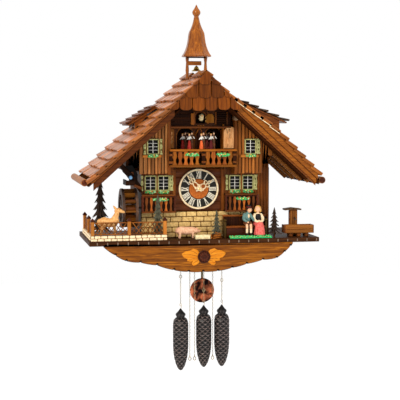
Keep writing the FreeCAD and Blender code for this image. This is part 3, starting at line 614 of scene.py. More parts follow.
ROOF_LOW, ROOF_HIGH = extent("roof_boards")
RIDGE = extent("roof_shingles")[1].z
HALF = ROOF_HIGH.x
PITCH = math.radians(42)
SLOPE = math.tan(PITCH)
EAVE_FRONT = ROOF_LOW.y
TILE_BED = 9 / math.cos(PITCH)
WALL = extent("lower_walls")[0].y
UPPER = extent("upper_walls")[0].y
GABLE = -252
PLATFORM_LOW, PLATFORM_HIGH = extent("base_platform")
GROUND = PLATFORM_HIGH.z
STONE_TOP = extent("stone_wall")[1].z
DIAL = middle("dial")
GLASS = ((-140.5, -85, True), (143.5, -86, True), (-141, -191, False), (-103, -191, False),
         (107.5, -192, False), (146.5, -192, False))
GLASS_WIDE, GLASS_HIGH = 28, 38
GUTTER = 10


def roof_z(x, below=0.0):
    return RIDGE - SLOPE * abs(x) - below


# ---------------------------------------------------------------- roof

def shingle(build, place, width, length, butt):
    """A tapered tile: x across, y down the slope to its thick lower end, z out of the roof."""
    thin, ease = 1.6, 0.6
    corners = [(0, 0), (width, 0), (width, length - ease), (width - ease, length), (ease, length),
               (0, length - ease)]
    build.slab(corners, thin, place, 0.5, along=1, rise=lambda x, y: (butt - thin) * y / length)


def roof_slopes():
    run = HALF / math.cos(PITCH)
    courses = 13
    pitch = run / (courses - 0.3)
    for side, name in ((-1, "roof_tiles_left"), (1, "roof_tiles_right")):
        build = Build().paint("roof_tile")
        down = Vector((side * math.cos(PITCH), 0, -math.sin(PITCH)))
        out = Vector((side * math.sin(PITCH), 0, math.cos(PITCH)))
        across = down.cross(out)
        for course in range(courses):
            top = pitch * (course - 0.7)
            low = top + pitch
            y = EAVE_FRONT - 4
            while y < -6:
                width = min(DICE.uniform(19, 33), -2 - y)
                reach = pitch * 1.25 if course else pitch * 0.98
                jitter = DICE.uniform(-2.2, 2.2)
                start = max(0.0, low - reach)
                length = low - start + jitter
                corner = y if across.y > 0 else y + width
                tilt = 0.10
                at = Vector((0, corner, RIDGE - TILE_BED)) + down * start + out * 0.6
                lean = (down + out * tilt).normalized()
                shingle(build, frame_at(at, across, lean, across.cross(lean)), width - 0.7, length,
                        DICE.uniform(5.2, 6.8))
                y += width
        build.piece(name, slot="shingle", replaces=("roof_shingles",))
    cap = Build().paint("golden")
    for step in range(8):
        y = EAVE_FRONT + 14 + step * 39.5
        if abs(y - middle("bell").y) < 36:
            continue
        for side in (-1, 1):
            lean = Vector((side * math.cos(PITCH * 0.8), 0, -math.sin(PITCH * 0.8)))
            place = frame_at((0, y, RIDGE + 1.5), Y * side, lean, (Y * side).cross(lean))
            cap.slab([(-21, -1), (21, -1), (21, 24), (-21, 24)], 5, place, 0.8, along=0)
    cap.piece("ridge_caps", slot="shingle")


def hip():
    """The small sloped front under the ridge: three rows of round-ended tiles cut to a triangle."""
    build = Build().paint("hip_tile")
    tilt = math.radians(5.3)
    down = Vector((0, -math.sin(tilt), -math.cos(tilt)))
    out = Vector((0, -math.cos(tilt), math.sin(tilt)))
    drop, half, width, radius = 108.0, 106.0, 36.0, 12.5
    apex = Vector((0, EAVE_FRONT - 1, RIDGE - 4))
    for level, (low, stagger) in enumerate(((drop, 0.0), (drop - 35, 0.5), (drop - 70, 0.0))):
        count = math.ceil(2 * half * low / drop / width) + 2
        for i in range(count):
            x = (i - count / 2 + stagger) * width - 6
            end = low + DICE.uniform(-2.6, 2.6)
            outline = [(x + 0.8, low - 44), (x + width - 0.8, low - 44)]
            outline += arc(x + width - 0.8 - radius, end - radius * 0.8, radius, 0, 90, 5, 0.8)
            outline += arc(x + 0.8 + radius, end - radius * 0.8, radius, 90, 180, 5, 0.8)
            for side in (-1, 1):
                outline = clip(outline, side, -half / drop, 2.0)
            if len(outline) < 3 or max(p[1] for p in outline) < low - 16:
                continue
            build.slab(outline, 5, frame_at(apex + out * (1.5 + level * 4), X, down, out), 1.3, along=1)
    build.piece("hip_tiles", slot="shingle")
    core = Build().paint("dark_board")
    place = frame_at(apex - out * 3, X, down, out)
    core.slab([(0, 4), (half - 6, drop - 6), (-half + 6, drop - 6)], 4.5, place, 0.3, along=0)
    core.piece("hip_board", slot="shingle")


def verge_tiles():
    """Wedge-shaped tiles stepping down the front edge of each slope, raised on the right, with a painted
    highlight strip along the upper right-hand tiles.
    """
    rises = {-1: ((0, -6), (HALF, -6)),
             1: ((0, -5), (55, -4), (84, 3), (153, 18), (200, 20), (247, 15), (300, 10),
                                            (HALF, 6))}
    for side, material in ((-1, "verge_left"), (1, "verge_right")):
        build = Build()
        lift = rises[side]
        count, length, butt = 13, 40, 9
        step = (HALF - 8) / math.cos(PITCH) / count
        down = Vector((side * math.cos(PITCH), 0, -math.sin(PITCH)))
        out = Vector((side * math.sin(PITCH), 0, math.cos(PITCH)))
        lean = (down + out * 0.14).normalized()
        core = []
        for i in range(count):
            run = (4 + step * i) * math.cos(PITCH)
            raised = float(np.interp(run, [p[0] for p in lift], [p[1] for p in lift]))
            core.append((side * run, roof_z(run, 4 if side > 0 else 9) + raised))
            across = Y * side
            at = Vector((side * run, EAVE_FRONT - (12 if side > 0 else -18), roof_z(run, 13) + raised))
            place = frame_at(at, lean, across, lean.cross(across))
            build.paint(material)
            build.slab([(0, 0), (length, 0), (length, 30), (0, 30)], butt, place, 1.4, along=0)
            # A thin cream strip along the lower edge of the upper right-hand tiles is a painted highlight.
            if side > 0 and run < 190:
                edge = at - Y * 0.4 + lean * 4
                build.paint("cream")
                build.bar((length - 4, 1.2, 1.8), edge + lean * (length / 2 - 2) - out * 0.6,
                          0.3, frame_at((0, 0, 0), lean, Y, lean.cross(Y)), along=0)
        build.paint("barge")
        low = [(side * run, roof_z(run, 14)) for run in (HALF - 6, 4)]
        build.slab(core + [(side * (HALF - 6), roof_z(HALF - 6, 6) + lift[-1][1])] + low, 26,
                   front(EAVE_FRONT + 20), 0.6, along=0)
        build.piece("verge_tiles_" + ("left" if side < 0 else "right"), slot="shingle")


def verge():
    """Barge boards, their mouldings, gutters and rafters."""
    build = Build()
    hip_half, y = 100.0, EAVE_FRONT
    # The lowest band on the left uses the darker copy of the barge wood as painted shade.
    bands = {-1: (("pale_strip", 8, 19, 10), ("barge", 19, 24, 12), ("barge_shaded_left", 24, 46, 8)),
             1: (("golden", -6, 12, 9), ("golden", 15, 30, 7), ("barge", 30, 37, 4))}
    for side in (-1, 1):
        def line(x, below):
            return (side * x, roof_z(x, below))
        for material, top, low, thick in bands[side]:
            end = HALF - 2 - low * 0.25
            build.paint(material)
            board = [line(hip_half - 10, top), line(end, top), line(end, low), line(hip_half - 10, low)]
            build.slab(board, thick, front(y + 2), 1.2, tone=0.55)
        build.paint("soffit")
        inner = [line(hip_half - 30, 38), line(HALF - 34, 38), line(HALF - 38, 45), line(hip_half - 30, 45)]
        build.slab(inner, 40, front(y + 42), 0.8, tone=0.8)
        down = Vector((side * math.cos(PITCH), 0, -math.sin(PITCH)))
        for i in range(12):
            reach = 98 / math.cos(PITCH) + i * 27
            middle_x = side * reach * math.cos(PITCH)
            place = frame_at((middle_x, -172, roof_z(middle_x, 24.2)), Y, down, Y.cross(down))
            build.bar((318, 25.5, 2.4), (0, 0, 0), 0.7, place, along=0)
        build.paint("tub_wood")
        for depth in (-60, -140, -220, -300):
            start = Vector((side * 216, depth, roof_z(216, 34)))
            build.tube([start, start + down * 124], 7.4, 14)
            build.lathe([(7.6, 0), (7.8, 1.5), (5.5, 2.6), (0.2, 2.8)], start + down * 124, down, 14)
        eave = Vector((side * (HALF + GUTTER), -6, roof_z(HALF, 12)))
        build.lathe([(8.2, 0), (GUTTER, 2), (GUTTER, 326), (8.6, 327.6)], eave, -Y, 20, along=2)
        build.paint("rosette_wood")
        build.lathe([(8.4, 0), (7, 1.2), (2, 1.5), (0.2, 1.6)], eave - Y * 327.4, -Y, 20)
    build.piece("verges_and_gutters", replaces=("roof_timbers",))


def dormers():
    """A low shed roof with its tiles, a cheek and a small window on each slope."""
    kinds = ((-1, "dormer_left", "hip_tile", 112, 206, 0.62, -190, -60),
             (1, "dormer_right", "dormer_tile", 97, 246, 0.424, -310, -180))
    for side, name, tile, crest, tip, fall, near, far in kinds:
        build = Build()
        base, face, mid_y, deep = roof_z(crest, -6), tip - 26, (near + far) / 2, far - near
        down = Vector((side, 0, -fall)).normalized()
        out = Vector((side * fall, 0, 1)).normalized()
        across = down.cross(out)
        length = (tip - crest) * math.sqrt(1 + fall * fall)
        build.paint("barge")
        place = frame_at(Vector((side * crest, mid_y, base)) - out * 5, across, down, out)
        half = deep / 2 - 1
        build.slab([(-half, 6), (half, 6), (half, length - 5), (-half, length - 5)], 4.4, place, 0.6,
                   along=0)
        build.paint(tile)
        rows = 5
        pitch = length / rows
        for row in range(rows):
            spot = near + 0.5
            while spot < far - 4:
                width = min(DICE.uniform(22, 34), far - 0.5 - spot)
                corner = spot if across.y > 0 else spot + width
                start = max(0, pitch * row - 8)
                lean = (down + out * 0.11).normalized()
                at = Vector((side * crest, corner, base)) + down * start
                shingle(build, frame_at(at, across, lean, across.cross(lean)), width - 0.6,
                        pitch * (row + 1) - start + DICE.uniform(-2, 2), 5.4)
                spot += width
        top, low = base - fall * (face - crest) - 6, roof_z(face, -2)
        for depth in (near + 5, far - 8):
            build.paint("barge")
            cheek = [(side * (crest + 32), roof_z(crest + 32, -2)), (side * face, roof_z(face, 2)),
                     (side * face, top + 2), (side * (crest + 32), base - fall * 32 - 5)]
            build.slab(cheek, 5, front(depth + 5), 0.6)
        build.paint("golden")
        for depth in (near + 9, mid_y, far - 9):
            build.bar((5, 6, top - low), (side * (face - 3), depth, (top + low) / 2), 0.6)
        build.paint("white" if side > 0 else "barge")
        for z in (low + 4, top - 3):
            build.bar((2.5, deep - 16, 2.5), (side * (face - 3), mid_y, z), 0.4)
        build.paint("socket")
        build.bar((1.5, deep - 14, top - low), (side * (face - 8), mid_y, (top + low) / 2), 0.1)
        build.piece(name, slot="oak", replaces=("dormers",))


# ---------------------------------------------------------------- tower

def tower():
    low, high = extent("tower_posts")
    depth = (low.y + high.y) / 2
    build = Build().paint("spire_wood")
    for x in (-27, 27):
        foot = roof_z(22) + 2
        profile = [(4.8, 0), (4.8, 6), (4.0, 9), (5.2, 22), (4.2, 34), (3.6, 44), (4.8, 50), (4.4, 58)]
        scale = (high.z - foot) / 58
        build.lathe([(r, h * scale) for r, h in profile], (x, depth, foot), Z, 14)
        build.bar((9, 9, 6), (x, depth, high.z - 3.2), 0.7, along=2)
    build.paint("golden").bar((40, 7.5, 12), (-5.5, depth, 173.5), 1.2)
    build.paint("dark_board").bar((58, 11, 3.5), (0, depth, high.z - 0.6), 0.6)
    build.piece("bell_tower_posts", replaces=("tower_posts",))
    spire = Build().paint("spire_wood")
    base = extent("tower_spire")[0].z
    flare = [(40, 0.2), (43.5, 1.2), (43.8, 3.5), (38.5, 11), (34.3, 19), (30.2, 30), (27.3, 42),
             (25.4, 54), (24.2, 64), (22.6, 71), (18.0, 80), (13.6, 90), (10.4, 100), (8.4, 109),
             (7.6, 114)]
    # Each of the eight facets takes its own tone: painted light and shade that sets the facets apart.
    spire.lathe(flare, (0, depth, base), Z, 8, spin=0.5,
                tone=[0.2 + 0.7 * ((i * 5) % 8) / 8 for i in range(8)]
                * len(flare))
    knob = [(7.2, 112), (6.4, 116), (7.6, 119), (10.4, 122.5), (12.0, 127), (11.6, 131), (9.4, 135),
            (6.6, 139), (4.2, 143), (2.2, 147.5), (0.4, 150.8)]
    spire.lathe(knob, (0, depth, base), Z, 28, tone=0.6)
    spire.piece("spire", replaces=("tower_spire",), angle=24)
    bell = Build().paint("bell_brass")
    foot = extent("bell")[0].z
    shell = [(14.4, 0), (14.6, 0.8), (12.2, 2.4), (9.2, 4.6), (7.4, 7.6), (6.2, 10.6), (4.8, 13.2),
             (2.4, 14.6), (1.6, 16.4)]
    hollow = [(11.6, 0.3), (9.6, 2.6), (7.2, 5.4), (5.6, 8.6), (4.2, 11.4), (0.2, 12.4)]
    bell.lathe(shell, (0, depth, foot), Z, 32)
    bell.lathe([(r, h - 0.02) for r, h in hollow], (0, depth, foot), Z, 32)
    bell.tube([(0, depth, foot + 11), (0, depth, foot + 1)], 0.7, 8)
    bell.ball((2.1, 2.1, 2.1), (0, depth, foot + 1.6), sides=12)
    bell.piece("hung_bell", "bell", "brass", replaces=("bell",))


# ---------------------------------------------------------------- walls

def planks(build, start, end, count, low, high, depth, thick):
    """Upright boards from start to end; low(x) and high(x) give their ends."""
    width = (end - start) / count
    for i in range(count):
        left, right = start + width * i + 1.1, start + width * (i + 1) - 1.1
        foot = low((left + right) / 2) + DICE.uniform(-1.6, 1.2)
        outline = [(left, high(left)), (left, foot + 3), (left + 3, foot), (right - 3, foot),
                   (right, foot + 3), (right, high(right))]
        build.slab(outline, thick, front(depth), 2.0, along=1)


def upper_storey():
    soffit = 26.0

    def top(x):
        return roof_z(x, soffit)

    for side, (wx, wz, _), name in ((-1, GLASS[0], "upper_wall_left"), (1, GLASS[1], "upper_wall_right")):
        build = Build()
        gap, sill, head = GLASS_WIDE / 2 + 1, wz - 1, wz + GLASS_HIGH + 1
        inner, outer = 97 * side, 211 * side

        def foot(x):
            reach = abs(x)
            return -144 if reach < 180 else -114 if reach < 196 else -92

        board = "plank_light" if side < 0 else "plank_right"
        bounds = sorted((inner, side * 180, side * 196, outer, wx - gap, wx + gap))
        back = UPPER + 8
        for a, b in zip(bounds, bounds[1:]):
            count = max(1, round((b - a) / 10.6))
            spans = ((foot, top),)
            if a >= wx - gap - 0.1 and b <= wx + gap + 0.1:
                spans = ((foot, lambda x: sill), (lambda x: head + 2, top))
            for low, high in spans:
                build.paint("socket")
                ends = (low((a + b) / 2) + 3, high(max(abs(a), abs(b))) - 2)
                build.bar((b - a, 3, ends[1] - ends[0]), ((a + b) / 2, back - 2, sum(ends) / 2), 0.1)
                build.paint(board)
                planks(build, a, b, count, low, high, back, 8)
        build.paint("plank_mid")
        height = top(93) + 146
        post_x = -93.5 if side < 0 else 100.5
        build.bar((9, 46, height), (post_x, UPPER + 22, -146 + height / 2), 1.2, along=2)
        build.bar((81, 38, 5), (side * 138, UPPER + 27, -141.5), 0.6)
        build.piece(name, replaces=("upper_walls",) if side < 0 else ())
    corner = Build().paint("plank_mid")
    planks(corner, 166, 211, 5, lambda x: GROUND + 0.3, lambda x: -92, WALL, 2.2)
    planks(corner, 66, 78, 1, lambda x: STONE_TOP, lambda x: -132, WALL, 2.2)
    planks(corner, -78, -66, 1, lambda x: STONE_TOP, lambda x: -132, WALL, 2.2)
    corner.piece("corner_boards", slot="oak")


def stones():
    """Courses of bevelled blocks, half a block apart."""
    build = Build().paint("stone_joint")
    low, high = extent("stone_wall")
    build.bar((high.x - low.x - 0.4, 6, high.z - low.z), (middle("stone_wall").x, WALL + 4.6,
                                                        (low.z + high.z) / 2), 0.1)
    build.paint("stone")
    courses = 5
    pitch = (high.z - low.z) / courses
    for row in range(courses):
        at = low.x - (row % 2) * 16
        while at < high.x - 1:
            length = DICE.uniform(30, 38)
            left, right = max(at, low.x), min(at + length, high.x)
            if right - left > 4:
                build.bar((right - left - 2.0, 6, pitch - 2.0),
                          ((left + right) / 2, WALL + 1.4, low.z + pitch * (row + 0.5)), 1.8, along=0)
            at += length
    build.piece("stone_courses", slot="masonry", replaces=("stone_wall",))


def window(build, x, z, face):
    """A casement with two lights of four panes in a narrow green-cream frame."""
    wide, high, bar = GLASS_WIDE, GLASS_HIGH, 3.4
    y = face - 2
    build.paint("shutter")
    for side in (-1, 1):
        build.bar((bar, 4.4, high + 2 * bar), (x + side * (wide + bar) / 2, y, z + high / 2), 0.8)
    for level in (z - bar / 2, z + high + bar / 2):
        build.bar((wide + 2 * bar, 4.4, bar), (x, y, level), 0.8)
    build.paint("white").bar((1.8, 2.8, high), (x, y + 0.6, z + high / 2), 0.4)
    for i in (1, 2, 3):
        build.bar((wide, 2.4, 1.1), (x, y + 0.6, z + high * i / 4), 0.3)


def leaves(build, x, y, z, length, height, depth, density=1.0):
    """A trough of small overlapping leaves and a few blossoms."""
    count = max(8, int(length * 1.1 * density))
    for i in range(count):
        share = (i + 0.5) / count
        sag = 1 - (2 * share - 1) ** 2
        spot = (x + (share - 0.5) * length, y + DICE.uniform(-0.4, 0.4) * depth,
                z + DICE.uniform(-0.42, 0.3) * height * (0.45 + 0.55 * sag))
        spin = turn("Y", DICE.uniform(0, 180)) @ turn("X", DICE.uniform(-30, 30))
        build.paint("leaf_light" if DICE.random() < 0.22 else "leafage")
        build.ball((DICE.uniform(2.4, 3.8), 1.0, DICE.uniform(1.3, 2.0)), spot, 8, spin)
    for i in range(max(3, int(length / 7))):
        build.paint(("blossom_yellow", "blossom_red", "leaf_light")[i % 3])
        spot = (x + DICE.uniform(-0.42, 0.42) * length, y - depth * 0.45,
                z + DICE.uniform(-0.2, 0.3) * height)
        build.ball((1.9, 1.2, 1.9), spot, 8)


def windows():
    frames, green, trough = Build(), Build(), Build()
    for x, z, upper in GLASS:
        face = UPPER if upper else WALL
        window(frames, x, z, face)
        trough.paint("post_wood")
        if upper:
            trough.bar((GLASS_WIDE + 26, 5, 7.5), (x - 3, face - 2.6, z - 8), 0.9)
        else:
            trough.bar((GLASS_WIDE + 9, 5, 7.5), (x, face - 2.6, z - 8), 0.9)
        leaves(trough, x, face - 7, z - 6.4, GLASS_WIDE, 10, 5)
    for middle_x in ((GLASS[2][0] + GLASS[3][0]) / 2, (GLASS[4][0] + GLASS[5][0]) / 2):
        trough.paint("golden").bar((4.4, 4, GLASS_HIGH + 26), (middle_x, WALL - 2, -172), 0.8, along=2)
    for x, z, upper in ((-164.0, -88, True), (-117.0, -88, True), (167, -88, True), (-165.5, -194, False),
                        (-80.0, -194, False), (84, -194, False), (169.6, -194, False)):
        face = UPPER if upper else WALL
        wide, high = (8.0, 44) if x < -150 or x in (-117.0, 84) else (12.0, 44)
        outline = []
        for side, levels in ((1, range(13)), (-1, range(12, -1, -1))):
            for i in levels:
                share = i / 12
                wave = 0.9 * math.cos(4 * math.pi * share)
                outline.append((x + side * (wide / 2 - 1 + wave), z + high * share))
        green.paint("shutter").slab(outline, 2.5, front(face), 0.5, along=1)
        green.paint("shutter_dark")
        for level in (0.3, 0.72):
            green.slab(arc(x, z + high * level, 2.0, 0, 330, 10, 1.6), 0.5, front(face - 2.3), 0.1)
        for level in (0.12, 0.5, 0.9):
            green.bar((wide * 0.66, 0.6, 0.7), (x, face - 2.6, z + high * level), 0.1)
    frames.piece("casements", slot="window_white", replaces=("window_frames",))
    green.piece("shutters", slot="green_paint", replaces=("window_shutters",))
    low, high = extent("stage_balcony")
    for x in (-33, 57):
        leaves(trough, x, low.y - 3.5, -88, 36, 11, 7, 1.4)
    for x, length in ((-117, 42), (124, 36)):
        leaves(trough, x, -258, -217, length, 9, 6, 1.2)
    trough.piece("flower_troughs", slot="green_paint", replaces=("flower_boxes",))


# ---------------------------------------------------------------- stage and balconies

def baluster(build, x, y, low, high, wide, material):
    """A flat sawn baluster with a waist and a wider foot."""
    half, height = wide / 2, high - low
    curve = ((0, 1), (0.06, 1), (0.2, 0.62), (0.34, 0.5), (0.46, 0.66), (0.58, 1), (0.78, 0.92),
             (0.9, 0.7), (1, 0.9))
    outline = [(x + half * w, low + height * s) for s, w in curve]
    outline += [(x - half * w, low + height * s) for s, w in reversed(curve)]
    build.paint(material).slab(outline, 3, front(y), 0.6, along=1)


def stage():
    build = Build().paint("golden")
    front_y = -295
    for z in (-76, -121):
        build.bar((194, 9, 6.5), (1, front_y + 2.6, z), 1.5)
    build.paint("panel").bar((188, 5, 5), (1, front_y + 5, -83), 0.8)
    for x in (-92.5, 2, 92.5):
        build.paint("panel").bar((11, 5, 40), (x, front_y + 4.2, -98.5), 1.2)
        build.paint("barge")
        for z in (-89, -110):
            build.bar((13, 4.5, 7), (x, front_y + 1.6, z), 2)
            build.ball((3.6, 2.4, 2.8), (x, front_y - 0.6, z), 12)
    build.paint("barge")
    for start in (-82, 14):
        for i in range(5):
            baluster(build, start + 16.2 * i, front_y + 4.6, -118, -79, 13.5,
                     "golden" if i in (0, 4) else "centre_wood")
    build.paint("dark_board").bar((176, 56, 5), (0, -258, -122), 0.6)
    for side in (-1, 1):
        build.bar((4, 50, 5), (side * 90, -258, -76), 0.8)
    build.paint("barge")
    for x in (-78, 78):
        build.slab([(x - 4, -126), (x + 4, -126), (x + 4, -140), (x - 4, -156)], 5, front(WALL), 1)
    build.piece("stage_front", replaces=("stage_balcony",))
    floor = Build().paint("dark_board")
    # Boards round the bearing hole of the carousel's spindle.
    for x0, x1, y0, y1 in ((-89, -2, -275, -225), (6, 89, -275, -225), (-2, 6, -275, -232.4),
                           (-2, 6, -223.6, -225)):
        if y1 > y0:
            floor.bar((x1 - x0, y1 - y0, 4.8), ((x0 + x1) / 2, (y0 + y1) / 2, -92.5), 0.1)
    floor.piece("stage_floor")
    trim = Build()
    for x in (-39.5, 43.5):
        trim.paint("golden")
        outer, inner = arc(x, -37, 27.5, 0, 180, 24), arc(x, -37, 24.4, 0, 180, 24)
        for i in range(len(outer) - 1):
            quad = [outer[i], outer[i + 1], inner[i + 1], inner[i]]
            trim.slab(quad, 2.4, front(WALL), 0.35, tone=0.5)
        for side in (-1, 1):
            trim.bar((3.1, 2.4, 40), (x + side * 25.95, WALL - 1.2, -57), 0.35, along=2)
    trim.paint("barge").bar((178, 5, 6), (0, WALL - 2.5, -9), 1.2)
    trim.paint("golden").bar((10, 6, 8), (2, WALL - 4, -12), 2.4)
    for side in (-1, 1):
        path = [(2 + side * (2 + 13 * t), -16 - 24 * t) for t in (0, 0.25, 0.5, 0.75, 1)]
        trim.slab(ribbon(path, [4, 5, 4, 3, 1.6]), 4, front(WALL - 1), 1.2, tone=0.8)
    trim.paint("rosette_wood")
    trim.slab([(-3, -20), (7, -20), (6, -40), (4, -77), (0, -77), (-2, -40)], 4, front(WALL - 1), 1.2,
              along=1)
    trim.piece("stage_carving")
    panel = Build().paint("carving")
    outline = [(66, -72), (103, -72)] + arc(84.5, -28, 18.5, 0, 180, 14)
    panel.slab(outline, 3, front(-262), 1.0, along=1, tone=0.7)
    panel.paint("dark_board").bar((41, 32, 66), (84.5, -243.5, -41), 1)
    panel.paint("carving")
    grooves = ((70.5, 0), (74, 2), (78, -3), (82, 3), (86, -2), (90, 3), (94, 0), (98.5, 0))
    for i, (x, lean) in enumerate(grooves):
        path = [(x + lean * math.sin(3 * t + i), -70 + 54 * t) for t in (0, 0.2, 0.4, 0.6, 0.8, 1)]
        panel.slab(ribbon(path, [2.4, 2, 2.8, 2.2, 3, 1.4]), 1.6, front(-264.8), 0.7, along=1, tone=0.9)
    for x, z, size in ((80, -30, 6), (88, -44, 7), (79, -56, 6), (90, -62, 5)):
        panel.ball((size * 0.6, 1.8, size), (x, -265, z), 12, turn("Y", DICE.uniform(-30, 30)), tone=0.8)
    panel.paint("rosette_wood")
    for x, z in ((76, -25), (84, -22), (91, -36), (75, -44), (84, -36)):
        panel.bar((1.2, 1.0, DICE.uniform(8, 15)), (x, -265.2, z), 0.3, turn("Y", DICE.uniform(-16, 16)))
    panel.paint("golden").bar((5, 34, 74), (66, -245, -40), 1.4, along=2)
    panel.paint("post_wood")
    panel.slab([(-88, -72), (-72, -72), (-72, -16), (-88, -16)], 3, front(WALL), 1.0, along=1)
    panel.paint("carving")
    for z in (-30, -42, -54):
        panel.ball((3, 1.6, 6), (-80, WALL - 3.2, z), 12, turn("Y", 20))
    panel.piece("carved_panels")


def gable():
    build = Build().paint("panel")
    for left, right in ((-88, -22), (44, 88)):
        for i in range(4):
            z = -6 + 11 * i
            high = min(z + 10.4, roof_z(max(abs(left), abs(right)), 24))
            if left < 0:
                build.bar((right - left, 3.2, 10.4), ((left + right) / 2, GABLE - 1.4, z + 5.2), 1.1,
                          along=0)
            elif high > z + 2:
                build.bar((right - left, 3.2, high - z), ((left + right) / 2, GABLE - 1.4, (z + high) / 2),
                          1.1, along=0)
    build.paint("barge")
    for x in (-17.6, 21.5):
        build.bar((6, 5, 36), (x, GABLE - 2, 15), 1.2, along=2)
    hood_in, hood_out = arc(0, 17, 14.4, 20, 160, 12), arc(0, 17, 19, 20, 160, 12)
    for i in range(len(hood_in) - 1):
        build.slab([hood_out[i], hood_out[i + 1], hood_in[i + 1], hood_in[i]], 4, front(GABLE), 0.6)
    build.paint("golden").bar((10, 5, 34), (-23, GABLE - 2.5, 12), 1.4, along=2)
    build.paint("dark_board")
    for i in range(6):
        build.bar((30, 4.2, 2.6), (61, GABLE - 3.4, 0.5 + 5.8 * i), 0.5, turn("X", 28), along=0)
    build.paint("barge")
    for x in (44.5, 78):
        build.bar((4, 5.5, 37), (x, GABLE - 3, 14.5), 1.0, along=2)
    build.bar((178, 30, 6), (0, GABLE + 2, -11.4), 1.2)
    build.paint("knob_wood")
    for x, z, size in ((99, 15, 7.4), (108, 31, 5.6)):
        build.lathe([(size - 1.4, 0), (size, 2), (size, 20), (size - 0.8, 22), (size * 0.6, 23),
                     (0.2, 23.2)],
                    (x, -262, z), -Y, 20)
        build.ball((size * 0.5, 2.4, size * 0.5), (x, -285, z), 14)
    build.paint("post_wood")
    for x, z, size in ((-8, -9, 3.2), (0, -10, 4.2), (8, -9, 3.2)):
        build.ball((size, 2.4, size * 1.1), (x, GABLE - 5.5, z), 14)
    build.piece("gable_dressing")


def side_balconies():
    rail_y, wide = -252, 98
    build = Build()
    for low in (-170, 74):
        high = low + wide
        middle_x = (low + high) / 2
        build.paint("barge")
        for z in (-205.5, -253.6):
            build.bar((wide, 6.5, 4.6), (middle_x, rail_y, z), 1.2)
        build.paint("rosette_wood").bar((wide, 5, 3), (middle_x, -251, -210.5), 0.8)
        build.paint("dark_board")
        build.bar((94, 2, 44), (middle_x, -247.6, -230), 0.2)
        build.bar((97, 26, 4), (middle_x, -239, -253.6), 0.6)
        for x in (low + 2.5, high - 2.5):
            build.bar((4, 26, 4), (x, -239, -205.8), 0.6)
            build.paint("rosette_wood")
            build.lathe([(3.6, 0), (3.6, 6), (2.2, 9), (4.2, 16), (2.2, 22), (2.2, 24), (4.4, 31),
                         (2.4, 38), (3.6, 42), (3.6, 46)], (x, rail_y, rail_y), Z, 14)
            build.paint("dark_board")
        for i in range(6):
            x = low + 14 + 14.0 * i
            baluster(build, x, -250, -251, -209, 8.4, "barge" if i in (0, 5) else "centre_wood")
    build.piece("side_balcony_rails", replaces=("window_balconies",))


# ---------------------------------------------------------------- base

def base():
    build = Build()
    low, high = PLATFORM_LOW, PLATFORM_HIGH
    mid_z, thick = (low.z + high.z) / 2, high.z - low.z
    build.paint("platform_wood")
    # Boards round the chain slot and the pendulum slot.
    bands = ((low.y, -183, low.x, high.x), (-183, -157, low.x, -62), (-183, -157, 112, high.x),
             (-157, -138, low.x, high.x), (-138, -122, low.x, -15), (-138, -122, 75, high.x),
             (-122, 0, low.x, high.x))
    for y0, y1, x0, x1 in bands:
        build.bar((x1 - x0, y1 - y0, thick), ((x0 + x1) / 2, (y0 + y1) / 2, mid_z),
                  0.9 if y0 == low.y else 0.05, along=0, tone=0.4)
    build.paint("notch")
    x = low.x + 22
    while x < high.x - 6:
        build.bar((2.6, 1.4, thick * 0.56), (x, low.y - 0.2, mid_z), 0.6, along=2)
        x += 29
    build.piece("platform", replaces=("base_platform",))

    notches = ((-285, -344), (-252, -368), (-221, -385), (-181, -390), (-134, -399), (-85, -414),
               (-43, -420), (-1, -421), (42, -420), (84, -412), (127, -402), (175, -391), (216, -387),
               (239, -370), (257, -353), (264, -345))
    edge = []
    for (x0, z0), (x1, z1) in zip(notches, notches[1:]):
        length = math.hypot(x1 - x0, z1 - z0)
        nx, nz = (z1 - z0) / length, -(x1 - x0) / length
        for share in (0.0, 0.06, 0.3, 0.5, 0.7, 0.94):
            bulge = 1.6 * math.sin(math.pi * share) ** 0.7 if share else -3.6
            edge.append((x0 + (x1 - x0) * share + nx * bulge, z0 + (z1 - z0) * share + nz * bulge))
    edge.append(notches[-1])
    board = Build().paint("fascia_wood")
    front_y = extent("base_fascia")[0].y + 5.5
    outline = [(264, low.z)] + edge[::-1] + [(-284, low.z)]
    board.slab(outline, 9, front(front_y + 8), 1.6, along=0, tone=0.6)
    board.paint("dark_board")
    board.slab([(x, z - 1.6) for x, z in outline], 4, front(front_y + 9), 0.4, along=0, tone=0.6)
    for x, z in notches[1:-1]:
        board.ball((4.2, 2.6, 2.6), (x, front_y - 0.4, z + 2.4), 10)
    board.piece("fascia_board", replaces=("base_fascia",))
    carving = Build()
    for side in (-1, 1):
        leaf = ((6, -381), (12, -366), (19, -358), (31, -355), (40, -360), (52, -361.5), (64, -369),
                (61, -376), (54, -382), (47, -384), (48, -390), (40, -392), (33, -391), (35, -399),
                (30, -404), (22, -402), (14, -396))
        carving.paint("leaf_wood")
        carving.slab([(side * x, z) for x, z in leaf], 4.6, front(front_y - 0.6), 2.0, along=0, tone=0.7)
        carving.paint("golden")
        for x0, z0, x1, z1 in ((16, -377, 62, -370), (18, -384, 46, -386), (20, -370, 40, -360),
                               (17, -389, 32, -398)):
            path = [(side * x0, z0), (side * (x0 + x1) / 2, (z0 + z1) / 2 + 2.2), (side * x1, z1)]
            carving.slab(ribbon(path, [1.4, 1.2, 0.4]), 0.9, front(front_y - 4.6), 0.3)
    carving.paint("rosette_wood")
    carving.lathe([(17, 0), (18.4, 5.6), (18.4, 7), (16.4, 8.6), (14.6, 7.2), (13.6, 7.4), (12.4, 9),
                   (6, 10.4), (0.2, 10.8)],
                  (0, front_y - 0.4, -378), -Y, 40)
    for i in range(12):
        angle = math.radians(30 * i)
        at = (9 * math.cos(angle), front_y - 9.8, -378 + 9 * math.sin(angle))
        carving.ball((2.2, 1.0, 4.8), at, 8, turn("Y", 90 - 30 * i))
    carving.ball((2.8, 1.8, 2.8), (0, front_y - 11, -378), 12)
    carving.piece("fascia_carving")


# ---------------------------------------------------------------- garden

